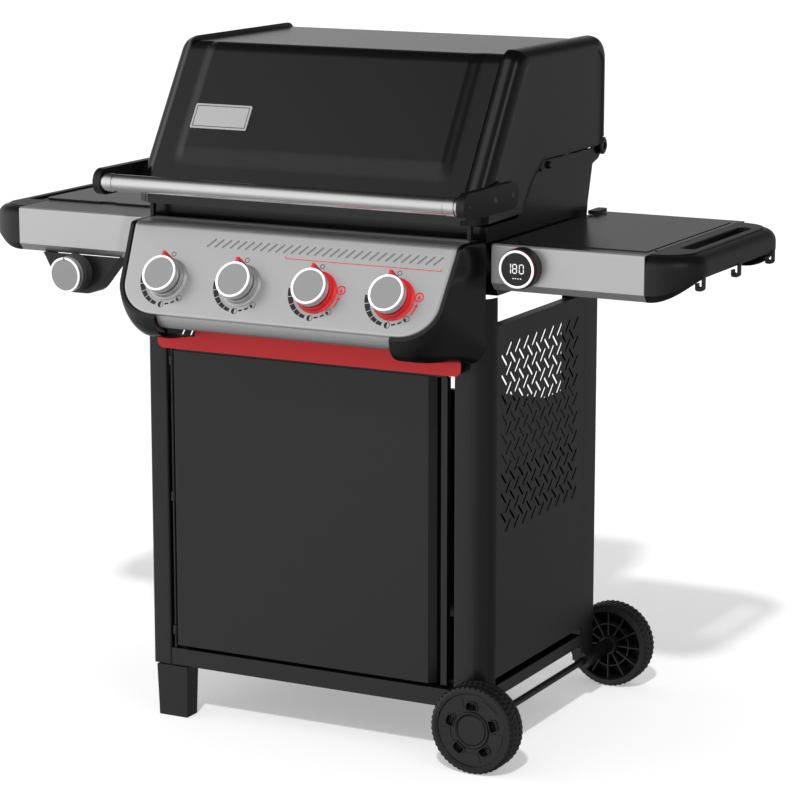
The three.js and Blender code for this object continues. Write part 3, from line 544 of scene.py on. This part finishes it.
def make_control_panel():
    fold = [(-5 + 5 * math.sin(a), -5 * (1 - math.cos(a))) for a in (math.pi / 2 * i / 6 for i in range(7))]
    fold.append((0, -8))
    shape = Shape().face(face_edge(-5), on_face, 0.0)
    shape.grid([[on_face(x, up, out) for x, up in face_edge(margin)] for margin, out in fold])
    across = [(-(303 + margin), out) for margin, out in reversed(fold)]
    across += [(303 + margin, out) for margin, out in fold]
    shape.grid([[(x, p[0] + n[0] * out, p[1] + n[1] * out) for x, out in across] for p, n in roll_section()])
    under = [(-358.6, 743.4), (-357.2, 737.5), (-353.5, 730.0), (-348, 723.6), (-342.5, 720.2), (-338, 719.6)]
    shape.grid([[(-219.4, y, z), (219.4, y, z)] for y, z in under])
    piece("control_panel_face", shape, "frame", SILVER_PAINT, ["control_panel"], sheet=2)
    for i, x in enumerate(KNOB_X):
        red = i > 1
        profile = [(6, 12.6), (30.6, 12.6), (31.8, 12.0), (32.2, 10.5), (32.4, 4.2), (33.2, 3.0),
                   (BEZEL_FOOT - 0.8, 1.8), (BEZEL_FOOT, 1.0), (BEZEL_FOOT, 0.0)]
        bezel = Shape().lathe(profile, lambda u, v, w: on_face(x + u, v, w), 72)
        piece(f"knob_bezel_{i + 1}", bezel, "frame",
              RED_GLOSS if red else SILVER_PAINT, smooth=40)


def cap_rows(side):
    """Rows from the face's edge back to the cart. Each runs from the top, down the side and underneath."""
    def front_path(margin, out):
        half = face_half(margin)
        top = [(303.6, 89.5), (303 + margin * 0.5, 89.5), (303 + margin, 89.2), (303 + margin, 88)]
        return [on_face(x, up, out) for x, up in top + half[1:] + [(219.8, -63 - margin)]]

    def rear_path():
        top = [(303.6, 889), (314, 889), (321, 886), (324.2, 879)]
        corner = arc(289.2, 719, 35, 0, -90, 16)
        return [(x, -227.0, z) for x, z in top + corner + [(219.8, 684)]]

    lip = ((0.6, -8), (0.6, -0.8), (1.2, -0.1), (1.8, 0), (7.0, 0), (7.6, -0.3), (8, -1.2))
    rows = [front_path(margin, out) for margin, out in lip]
    front, rear = rows[-1], rear_path()
    low = min(p[2] for p in front)
    high = max(p[2] for p in front)
    for k in range(1, 15):
        part = (k / 14) ** 1.4
        swell = 65 * part ** 0.4 * (1 - part) ** 1.6
        row = []
        for i, (a, b) in enumerate(zip(front, rear)):
            mix = [p + (q - p) * part for p, q in zip(a, b)]
            height = (a[2] - low) / (high - low)
            mix[2] += swell * 0.2256 if i < 4 else -swell * max(0.0, 1 - height * 2.5)
            row.append(tuple(mix))
        rows.append(row)
    return [[(side * x, y, z) for x, y, z in row] for row in rows]


def make_panel_caps():
    for name, side in (("panel_cap_left", -1), ("panel_cap_right", 1)):
        shape = Shape().grid(cap_rows(side))
        piece(name + "_skin", shape, "frame", GLOSS_PLASTIC, [name], sheet=2.4, smooth=38)


# ---------------------------------------------------------------- knobs and dial prints
SIDE_KNOB_X, SIDE_KNOB_FRONT, SIDE_KNOB_Z = -478, -211, 774
# A print is a thin plate from INK_BACK to INK_FRONT above the panel's face.
INK_BACK, INK_FRONT = 0.05, 0.3


def fan(cx, cy, start, end, inner, outer, steps=10):
    """Part of a ring between two angles. outer may be a pair that changes along it."""
    first, last = outer if isinstance(outer, tuple) else (outer, outer)
    turns = [math.radians(start + (end - start) * i / steps) for i in range(steps + 1)]
    radii = [first + (last - first) * i / steps for i in range(steps + 1)]
    away = [(cx + r * math.cos(a), cy + r * math.sin(a)) for a, r in zip(turns, radii)]
    return away + [(cx + inner * math.cos(a), cy + inner * math.sin(a)) for a in reversed(turns)]


def make_dial(index, x):
    """Printed marks round a knob: a ring for off, a scale that thins out, and three heat marks."""
    def place(u, v, w):
        return on_face(x + u, v, w)

    def polar(radius, angle):
        return radius * math.cos(math.radians(angle)), radius * math.sin(math.radians(angle))

    ink = Shape()
    ink.slab(circle(0, 44.5, 4.3, 28), place, INK_BACK, INK_FRONT, [circle(0, 44.5, 3.3, 28)])
    edges = [176, 194, 211, 227, 242, 257]
    for start, end in zip(edges, edges[1:]):
        thick = [52.5 - 5.0 * (a - 176) / 81 for a in (start, end)]
        ink.slab(fan(0, 0, start, end - 2.0, 42.0, tuple(thick)), place, INK_BACK, INK_FRONT)
    cu, cv = polar(44.5, 268)
    ink.slab(circle(cu, cv, 5.3, 28), place, INK_BACK, INK_FRONT, [circle(cu, cv, 4.5, 28)])
    ink.slab(fan(cu, cv, 90, 270, 0.01, 4.6), place, INK_BACK, INK_FRONT)
    for angle in (282.5, 297.0):
        ink.slab(fan(0, 0, angle - 4.6, angle + 4.6, 42.0, 44.8, 4), place, INK_BACK, INK_FRONT)
    cu, cv = polar(43.5, 314)
    ink.slab(circle(cu, cv, 5.3, 28), place, INK_BACK, INK_FRONT, [circle(cu, cv, 4.5, 28)])
    ink.slab(fan(cu, cv, 180, 270, 0.01, 4.6), place, INK_BACK, INK_FRONT)
    piece(f"dial_marks_{index}", ink, "frame", DARK_INK, smooth=30)
    if x > 0:
        hot = Shape()
        hot.slab(fan(0, 0, -33, -12, 42.2, 44.4), place, INK_BACK, INK_FRONT)
        hot.slab([polar(40.2, -13), polar(46.4, -13), polar(43.4, -5)], place, INK_BACK, INK_FRONT)
        cu, cv = polar(44.5, 9)
        hot.slab(circle(cu, cv, 8.2, 36), place, INK_BACK, INK_FRONT, [circle(cu, cv, 5.8, 36)])
        flame = rounded([(cu - 3.4, cv - 3.8, 2.2), (cu + 3.4, cv - 3.8, 2.2), (cu + 0.6, cv + 5.0)], 4)
        hot.slab(flame, place, INK_BACK, INK_FRONT)
        piece(f"dial_hot_marks_{index}", hot, "frame", RED_PAINT, smooth=30)


def make_panel_prints():
    strokes = Shape()
    for k in range(30):
        strokes.slab(slot_outline(-145.2 + 14.5 * k, 69.7, 1, 21.5, 3.4), on_face, INK_BACK, INK_FRONT)
    piece("panel_hatching", strokes, "frame", MARK_GREY, smooth=30)
    bracket = [(-1.5, 57.5), (-1.5, 52.6), (284.3, 52.6), (284.3, 57.5), (283.1, 57.5), (283.1, 53.8),
               (-0.3, 53.8), (-0.3, 57.5)]
    line = Shape().slab(bracket, on_face, INK_BACK, INK_FRONT)
    piece("panel_red_line", line, "frame", RED_PAINT, smooth=30)


def make_knob(node, body, place, fin_material):
    """A knob with a pointer fin, or with a small dark notch when there is no fin material."""
    profile = [(5, 16.5), (29.4, 16.5), (30.4, 17.0), (30.8, 18.0), (30.8, 21.5), (30.0, 22.2),
               (30.0, 23.0), (30.8, 23.6), (30.8, 30.2), (30.2, 30.6), (26.8, 30.6)]
    barrel = Shape().lathe(profile, place, 72)
    piece(node + "_barrel", barrel, body, SILVER_PAINT, [node], smooth=35)
    cap = Shape().lathe([(26.8, 30.0), (26.8, 31.2), (26.2, 31.6), (0, 31.4)], place, 64)
    piece(node + "_cap", cap, body, GREY_PLASTIC, smooth=35)
    ring = Shape().lathe([(30.2, 30.0), (30.9, 30.4), (30.9, 32.0), (30.2, 33.0), (28.4, 33.1), (27.4, 32.4),
                          (27.0, 31.4), (27.0, 30.0)], place, 72)
    # The ring's flat white finish is a painted highlight for polished metal.
    piece(node + "_ring", ring, body, PAINTED_HIGHLIGHT_TRIM, smooth=45)
    if fin_material is None:
        notch = Shape().slab(rectangle(-1.6, 1.6, 27.2, 30.6), place, 32.6, 33.3)
        piece(node + "_notch", notch, body, DARK_INK)
        return
    side_view = [(27, 18.5), (33.3, 18.5), (33.3, 4.0), (36.5, 4.0), (39.5, 31.5), (38.6, 33), (30.4, 32.6)]
    fin = Shape().slab(side_view, lambda u, v, w: place(w, u, v), -2.6, 2.6)
    piece(node + "_fin", fin, body, fin_material, bevel=0.9)


def make_knobs():
    for i, x in enumerate(KNOB_X):
        make_knob(f"knob_{i + 1}", f"knob_{i + 1}", lambda u, v, w: on_face(x + u, v, w), RED_GLOSS)
        make_dial(i + 1, x)

    def beside(u, v, w):
        return (SIDE_KNOB_X + u, SIDE_KNOB_FRONT - w, SIDE_KNOB_Z + v)

    make_knob("side_burner_knob", "side_knob", beside, None)
    profile = [(6, 13), (30.5, 13), (31.8, 12.2), (32.2, 2), (33.5, 0.4), (33.5, -4.6)]
    seat = Shape().lathe(profile, beside, 64)
    piece("side_knob_seat", seat, "frame", DARK_GREY, smooth=40)


# ---------------------------------------------------------------- side panels
SLOT_PITCH = 33.3


def slot_outline(y, z, tilt, length=28.0, width=4.6):
    """A slot with round ends, at 45 degrees one way or the other."""
    c, s = math.cos(math.radians(45 * tilt)), math.sin(math.radians(45 * tilt))
    reach = (length - width) / 2
    ends = arc(reach, 0, width / 2, -90, 90, 4) + arc(-reach, 0, width / 2, 90, 270, 4)
    return [(y + u * c - v * s, z + u * s + v * c) for u, v in ends]


def make_side_panels():
    steps = [SLOT_PITCH * k for k in range(10)]
    holes = [slot_outline(-155.6 + across, 681 - down, -1) for across in steps[:9] for down in steps[:9]]
    holes += [slot_outline(-138 + across, 697.8 - down, 1) for across in steps[:9] for down in steps]
    inside = [h for h in holes if max(p[0] for p in h) < 160 and min(p[0] for p in h) > -174]
    for name, side in (("side_panel_left", -1), ("side_panel_right", 1)):
        near, far = sorted((side * 323.4, side * 324.2))
        outline = [(-181.5, 144), (167.7, 144), (167.7, 742), (-181.5, 742)]
        shape = Shape().slab(outline, seen_from_side, near, far, inside)
        for z0, z1 in ((144, 146), (740, 742)):
            x0, x1 = sorted((side * 306.2, side * 323.6))
            shape.box(x0, x1, -181.5, 167.7, z0, z1)
        piece(name + "_sheet", shape, "frame", BLACK_PAINT, [name], smooth=30)
        # Painted shade: a black strip just inside the panel blackens a band of slots, where the view inside
        # falls into shade.
        x0, x1 = sorted((side * 322.2, side * 323.2))
        strip = Shape().box(x0, x1, -179, 165, 492, 588)
        piece(name + "_painted_shade_strip", strip, "frame", BLACK_PAINT, smooth=30)


# ---------------------------------------------------------------- wheels
WHEEL_X, WHEEL_RADIUS = 319.5, 76.2


def make_wheel(name, outer_face, inward):
    """A lugged tread round a moulded disc with five windows. Ribs stiffen its inner side."""
    def place(u, v, w):
        return (WHEEL_X + u, outer_face + inward * w, WHEEL_RADIUS + v)

    shape = Shape()
    steps = 192
    profile = [(62, 6), (62, 3.0), (63.5, 1.2), (66, 1.2), (66.4, 0.3), (71, 0.4), (74.4, 2.4),
               (76.2, 7.0), (76.2, 15), (73.6, 15.6), (73.6, 17.6), (76.2, 18.2), (76.2, 29.4),
               (73.6, 30), (73.6, 32), (76.2, 32.6),
               (76.2, 41), (74, 44), (70, 45.3), (64, 45.3), (62, 43), (60, 9)]
    rows = []
    for r, w in profile:
        row = []
        for i in range(steps):
            shift = 2 if 16 < w < 31.5 else 0
            groove = 1.3 if (i + shift) % 4 < 2 and r > 74 else 0.0
            angle = 2 * math.pi * i / steps
            row.append(place((r - groove) * math.cos(angle), (r - groove) * math.sin(angle), w))
        rows.append(row)
    shape.grid(rows, closed=True)
    windows = []
    pads = []
    for k in range(5):
        turn = 90 + 72 * k
        c, s = math.cos(math.radians(turn)), math.sin(math.radians(turn))
        window = rounded([(34.5, -9.5, 2), (42, -9.5, 4), (48, -6.5, 3),
                          (48, 6.5, 3), (42, 9.5, 4), (34.5, 9.5, 2)], 3)
        windows.append([(u * c - v * s, u * s + v * c) for u, v in window])
        pads.append(fan(0, 0, turn + 19, turn + 53, 40, 57))
        rim = offset(windows[-1], -1.6, closed=True)
        shape.slab(rim, place, 1.8, 4.2, [windows[-1]])
    shape.slab(circle(0, 0, 62.5, 72), place, 4.0, 8.0, windows)
    for pad in pads:
        shape.slab(pad, place, 3.0, 4.2)
    cover = [(0, 2.2), (24.5, 2.2), (26, 3.6), (27.5, 2.0), (29.5, 1.0), (31.0, 1.6), (32, 3.2), (32, 6)]
    shape.lathe(cover, place, 64)
    shape.lathe([(0, 12), (61, 12)], place, 48)
    shape.lathe([(7, 44.8), (16, 45.2), (17.5, 43), (18.5, 12)], place, 40)
    shape.lathe([(38, 38), (40, 38), (40, 12), (38, 12), (38, 38)], place, 48)
    for k in range(12):
        c, s = math.cos(math.pi * k / 6), math.sin(math.pi * k / 6)
        rib = [(17, -1.2), (61.5, -1.2), (61.5, 1.2), (17, 1.2)]
        shape.slab([(u * c - v * s, u * s + v * c) for u, v in rib], place, 12, 40)
    body = name.replace("wheel_", "") + "_wheel"
    piece(name + "_tyre", shape, body, WHEEL_PLASTIC, [name], smooth=34)


# ---------------------------------------------------------------- side tables
TABLE_FRONT, TABLE_TOP, TABLE_JOIN, TABLE_END = -210.3, 881.5, 592.9, 672.0


def cap_plan(inset):
    corner = 74 - inset
    front, rear, end = TABLE_FRONT + inset, TABLE_REAR - inset, TABLE_END - inset
    return rounded([(TABLE_JOIN, front), (end, front, corner), (end, rear, corner), (TABLE_JOIN, rear)],
                   16, closed=False)


def make_end_cap(name, side):
    """A moulded end whose underside rises, with a soft outer roll, a finger slot and three hooks."""
    levels = [(1.0, 0.0), (0.75, 0.25), (0.0, 1.0)]
    rows = []
    for inward, rise in levels:
        row = []
        for (x, y), (xi, yi) in zip(cap_plan(0), cap_plan(10)):
            part = (x - TABLE_JOIN) / (TABLE_END - TABLE_JOIN)
            low = 805.4 + 37 * part ** 2.2
            pull = inward * (1 - 0.6 * part)
            height = low + rise * 12.6 * (1 - 0.4 * part)
            row.append((x + (xi - x) * pull, y + (yi - y) * pull, height))
        rows.append(row)
    for inset, z in ((0, 858), (0.8, 864), (2.8, 869), (6, 873.2), (10.5, 876.4), (16, 878.4), (19.5, 879),
                     (20.2, 880.2), (21.2, 881.1), (23, 881.4)):
        rows.append([(x, y, z) for x, y in cap_plan(inset)])
    slot = rounded([(612, -112, 4), (636, -112, 4), (636, 148, 12), (612, 148, 12)], 6)
    lip = offset(slot, -1.6, closed=True)
    shape = Shape().grid(rows)
    shape.face(cap_plan(23), seen_from_top, 881.4, [lip])
    walls = ((lip, 881.4), (slot, 879.6), (slot, 858))
    shape.grid([[(x, y, z) for x, y in path] for path, z in walls], closed=True)
    shape.points = [(side * x, y, z) for x, y, z in shape.points]
    piece(name + "_skin", shape, "frame", BLACK_PLASTIC, [name], sheet=2.4, smooth=36)
    hooks = Shape()
    outline = rounded([(670.5, 850), (667, 850), (667, 828, 3), (660, 828, 2), (660, 834), (656, 834, 1),
                       (656, 822, 4), (670.5, 822, 5)], 4)
    for y in (-150, 5, 160):
        hooks.slab([(side * x, z) for x, z in outline], seen_from_front, y - 5, y + 5)
    piece(name + "_hooks", hooks, "frame", BLACK_PLASTIC, bevel=1.0)


def make_right_table():
    shape = Shape().slab(rectangle(325.2, 592.3, -202, TABLE_REAR, 0), seen_from_top, 835, 880.3)
    plateau = rounded([(347, -168, 16), (579, -168, 6), (579, 203, 12), (347, 203, 16)], 6)
    rail = rounded([(584, -150, 3), (591.6, -150, 3), (591.6, 203, 3), (584, 203, 3)], 4)
    shape.slab(plateau, seen_from_top, 879.5, TABLE_TOP)
    shape.slab(rail, seen_from_top, 879.5, 881.4)
    piece("table_right_top", shape, "frame", TABLE_PAINT, ["table_right"], bevel=1.1)


def make_burner_cover():
    left, right, front, rear = -606, -347, -105, 182
    scoop = rounded([(-458, front), (-462, front + 5, 4), (-488, front + 5, 4), (-492, front)],
                    5, closed=False)
    outline = rounded([(left, front, 10), (left, rear, 5), (right, rear, 5), (right, front, 10)], 6) + scoop
    shape = Shape().slab(outline, seen_from_top, 881.9, 884.6)
    for x in (left + 40, right - 40):
        shape.lathe([(0, -12), (3, -12), (3, 12), (0, 12)], lambda u, v, w: (x + w, rear + u, 884.8 + v), 20)
    piece("side_burner_cover_plate", shape, "burner_cover", TABLE_PAINT, ["side_burner_cover"],
          bevel=1.0)


# ---------------------------------------------------------------- thermometer
GAUGE_X, GAUGE_FRONT, GAUGE_Z = 382.6, -236.5, 847.8
# The lit bars of each digit that shows, by the usual letters of a seven-bar display.
SEGMENTS = {"1": "bc", "8": "abcdefg", "0": "abcdef"}


def digit(shape, place, text, u, v, height):
    """A digit made of short bars, as on a lit display."""
    w, t = height * 0.5, height * 0.11
    bars = {"a": (0, height, w, height), "b": (w, height / 2, w, height), "c": (w, 0, w, height / 2),
            "d": (0, 0, w, 0), "e": (0, 0, 0, height / 2), "f": (0, height / 2, 0, height),
            "g": (0, height / 2, w, height / 2)}
    for key in SEGMENTS[text]:
        u0, v0, u1, v1 = bars[key]
        shape.slab([(u + u0 - t / 2, v + v0 - t / 2), (u + u1 + t / 2, v + v0 - t / 2),
                    (u + u1 + t / 2, v + v1 + t / 2), (u + u0 - t / 2, v + v1 + t / 2)], place, 0.5, 0.7)


def make_gauge():
    def place(u, v, w):
        return (GAUGE_X + u, GAUGE_FRONT - w, GAUGE_Z + v)

    rim = Shape().lathe([(0, -25.8), (33, -25.8), (33, -6.4), (32.4, -5.6), (31.0, -5.2), (30.5, -4.6),
                         (30.5, 1.0), (29.8, 1.9), (28.4, 2.0), (27.4, 1.2), (27.0, 0.0), (0, 0.0)],
                        place, 72)
    piece("gauge_housing", rim, "frame", BLACK_PLASTIC, ["gauge"], smooth=30)
    ring = Shape().lathe([(26.8, 0.6), (27.2, 1.8), (28.0, 2.3), (29.6, 2.3), (30.6, 1.6), (30.9, 0.4)],
                         place, 72)
    # The ring's flat white finish is a painted highlight for polished metal.
    piece("gauge_ring", ring, "frame", PAINTED_HIGHLIGHT_TRIM, smooth=50)
    band = Shape().lathe([(30.8, -0.6), (31.0, -0.6), (31.0, -2.0), (30.8, -2.0)], place, 72)
    piece("gauge_red_line", band, "frame", RED_PAINT, smooth=30)
    glass = Shape().lathe([(0, 0.45), (26.2, 0.4), (27.2, 0.1)], place, 64)
    piece("gauge_glass", glass, "frame", GLOSS_PLASTIC, smooth=30)
    figures = Shape()
    for text, u in (("1", -17.0), ("8", -6.5), ("0", 5.5)):
        digit(figures, place, text, u, -6.0, 14.0)
    for u in (-7.0, -2.5, 2.0, 6.5):
        figures.slab([(u, -15.5), (u + 2.4, -15.5), (u + 2.4, -14), (u, -14)], place, 0.5, 0.7)
    piece("gauge_figures", figures, "frame", WHITE_INK, smooth=30)


# ---------------------------------------------------------------- small pieces
def make_small_pieces():
    bosses = Shape()
    for y, z in ((-14.5, 982.5), (21.6, 983)):
        bosses.lathe([(0, 323.5), (4.5, 323.5), (6, 322.4), (6.4, 318), (0, 318)],
                     about(seen_from_side, y, z), 28)
    piece("cookbox_bosses", bosses, "frame", BLACK_PLASTIC, smooth=35)
    outline = rounded([(326, 168, 3), (344, 168, 6), (344, 215, 6), (326, 215, 3)], 4)
    clip = Shape().slab(outline, seen_from_top, 882, 888)
    piece("table_clip", clip, "frame", BLACK_PLASTIC, bevel=1.6)
    covers = Shape()
    for x in (-234.0, -158.0, -79.0, 0.0, 79.0, 158.0, 234.0):
        for side in (-1, 1):
            slope = [(x, 880), (x + side * 34, 856), (x + side * 34, 854), (x, 877.5)]
            covers.slab(slope, seen_from_front, -190, 165)
    piece("flame_covers", covers, "frame", STEEL, smooth=30)
    lip = Shape().box(-270, 250, -219, -209, 655.5, 664.5)
    piece("door_top_lip", lip, "door", BLACK_PAINT, bevel=1.0)
    tabs = Shape()
    for side in (-1, 1):
        x0, x1 = sorted((side * 296, side * 303))
        tabs.box(x0, x1, -240, -231, 889, 914)
    piece("panel_tabs", tabs, "frame", BLACK_PLASTIC, bevel=0.8)


make_lid_shroud()
make_lid_end("lid_end_left", -1)
make_lid_end("lid_end_right", 1)
make_badge()
make_handle()
make_control_panel()
make_panel_caps()
make_panel_prints()
make_knobs()
make_side_panels()
make_wheel("wheel_front", -265.7, 1)
make_wheel("wheel_rear", 339.6, -1)
make_end_cap("end_cap_left", -1)
make_end_cap("end_cap_right", 1)
make_right_table()
make_burner_cover()
make_gauge()
make_small_pieces()
carry("side_burner_bracket", BLACK_PAINT, 1.5)


# ---------------------------------------------------------------- floor, light and camera
def make_floor():
    shape = Shape().grid([[(-30000, -30000, 0), (30000, -30000, 0)], [(-30000, 30000, 0), (30000, 30000, 0)]])
    mesh = mesh_from("floor", shape)
    floor = bpy.data.objects.new("floor", mesh)
    bpy.context.scene.collection.objects.link(floor)
    paper = finish_of("floor", (0.55, 0.55, 0.55), 0.75, grain=60, relief=0.0, specular=0.0)
    shader = paper.node_tree.nodes["Principled BSDF"]
    shader.inputs["Emission Color"].default_value = (1.0, 1.0, 1.0, 1.0)
    shader.inputs["Emission Strength"].default_value = 0.36
    mesh.materials.append(paper)
    floor.visible_glossy = False


def make_world():
    """A studio: bright low down at the front left, dark overhead, with one soft patch at the upper right."""
    world = bpy.data.worlds.new("studio")
    bpy.context.scene.world = world
    world.use_nodes = True
    nodes = world.node_tree.nodes
    link = world.node_tree.links.new
    where = nodes.new("ShaderNodeTexCoord")
    split = nodes.new("ShaderNodeSeparateXYZ")
    link(where.outputs["Generated"], split.inputs["Vector"])

    def ramp(source, low, high, stops):
        span = nodes.new("ShaderNodeMapRange")
        span.inputs["From Min"].default_value = low
        span.inputs["From Max"].default_value = high
        link(source, span.inputs["Value"])
        steps = nodes.new("ShaderNodeValToRGB")
        elements = steps.color_ramp.elements
        elements[0].position = 0.0
        elements[1].position = 1.0
        for value, _ in stops[1:-1]:
            elements.new((value - low) / (high - low))
        for element, (_, level) in zip(elements, stops):
            element.color = (level, level, level, 1.0)
        link(span.outputs["Result"], steps.inputs["Fac"])
        return steps.outputs["Color"]

    def mathematics(operation, first, second, third=None):
        node = nodes.new("ShaderNodeMath")
        node.operation = operation
        for socket, value in zip(node.inputs, (first, second, third)):
            if isinstance(value, (int, float)):
                socket.default_value = value
            elif value is not None:
                link(value, socket)
        return node.outputs["Value"]

    x, y, z = split.outputs
    front = ramp(z, -1, 1, [(-1, 0.30), (-0.5, 0.80), (-0.2, 1.35), (0.1, 1.40), (0.5, 1.35), (0.62, 1.22),
                            (0.7, 1.1), (0.78, 0.7), (0.86, 0.15), (1, 0.04)])
    rear = ramp(z, -1, 1, [(-1, 0.30), (-0.4, 0.7), (-0.2, 1.0), (0.05, 1.05), (0.18, 0.98), (0.28, 0.70),
                           (0.42, 0.15), (0.7, 0.05), (1, 0.03)])
    across = mathematics("MULTIPLY_ADD", y, 0.25, mathematics("MULTIPLY", x, 0.9))
    level = ramp(across, -1, 1, [(-1, 0.85), (-0.62, 0.64), (-0.19, 0.44), (0.3, 0.26), (0.65, 0.26),
                                 (1, 0.20)])
    blend = nodes.new("ShaderNodeMix")
    blend.data_type = "RGBA"
    link(ramp(y, -0.25, 0.35, [(-0.25, 0.0), (0.35, 1.0)]), blend.inputs["Factor"])
    link(front, blend.inputs[6])
    link(rear, blend.inputs[7])
    scale = nodes.new("ShaderNodeVectorMath")
    scale.operation = "MULTIPLY"
    link(blend.outputs[2], scale.inputs[0])
    link(level, scale.inputs[1])
    toward = nodes.new("ShaderNodeVectorMath")
    toward.operation = "DOT_PRODUCT"
    toward.inputs[1].default_value = Vector((0.67, -0.36, 0.60)).normalized()
    link(where.outputs["Generated"], toward.inputs[0])
    total = nodes.new("ShaderNodeVectorMath")
    total.operation = "ADD"
    link(scale.outputs["Vector"], total.inputs[0])
    link(ramp(toward.outputs["Value"], 0.94, 1.0, [(0.94, 0.0), (0.975, 0.7), (1.0, 0.9)]), total.inputs[1])
    link(total.outputs["Vector"], nodes["Background"].inputs["Color"])


def make_sun(name, energy, direction, spread):
    data = bpy.data.lights.new(name, "SUN")
    data.energy = energy
    data.angle = math.radians(spread)
    sun = bpy.data.objects.new(name, data)
    bpy.context.scene.collection.objects.link(sun)
    sun.rotation_mode = "QUATERNION"
    sun.rotation_quaternion = Vector(direction).to_track_quat("-Z", "Y")
    sun.visible_glossy = False


def make_camera():
    data = bpy.data.cameras.new("camera")
    camera = bpy.data.objects.new("camera", data)
    bpy.context.scene.collection.objects.link(camera)
    right = Vector((0.8868, 0.4621, 0.0)).normalized()
    back = Vector((0.4522, -0.8680, 0.2050)).normalized()
    up = back.cross(right)
    turn = Matrix((right, up, back)).transposed().to_4x4()
    camera.matrix_world = Matrix.Translation(metres((2399.9, -4512.4, 1617.0))) @ turn
    data.lens = 134.75
    data.sensor_width = 36.0
    data.shift_x = 0.0007
    data.shift_y = 0.0057
    data.clip_end = 200.0
    bpy.context.scene.camera = camera


make_floor()
make_world()
make_sun("key_light", 2.6, (-0.30, 0.90, -1.0), 3)
make_sun("overhead_fill", 1.5, (0.0, 0.15, -1.0), 150)
make_camera()
bpy.context.scene.view_settings.view_transform = "Standard"
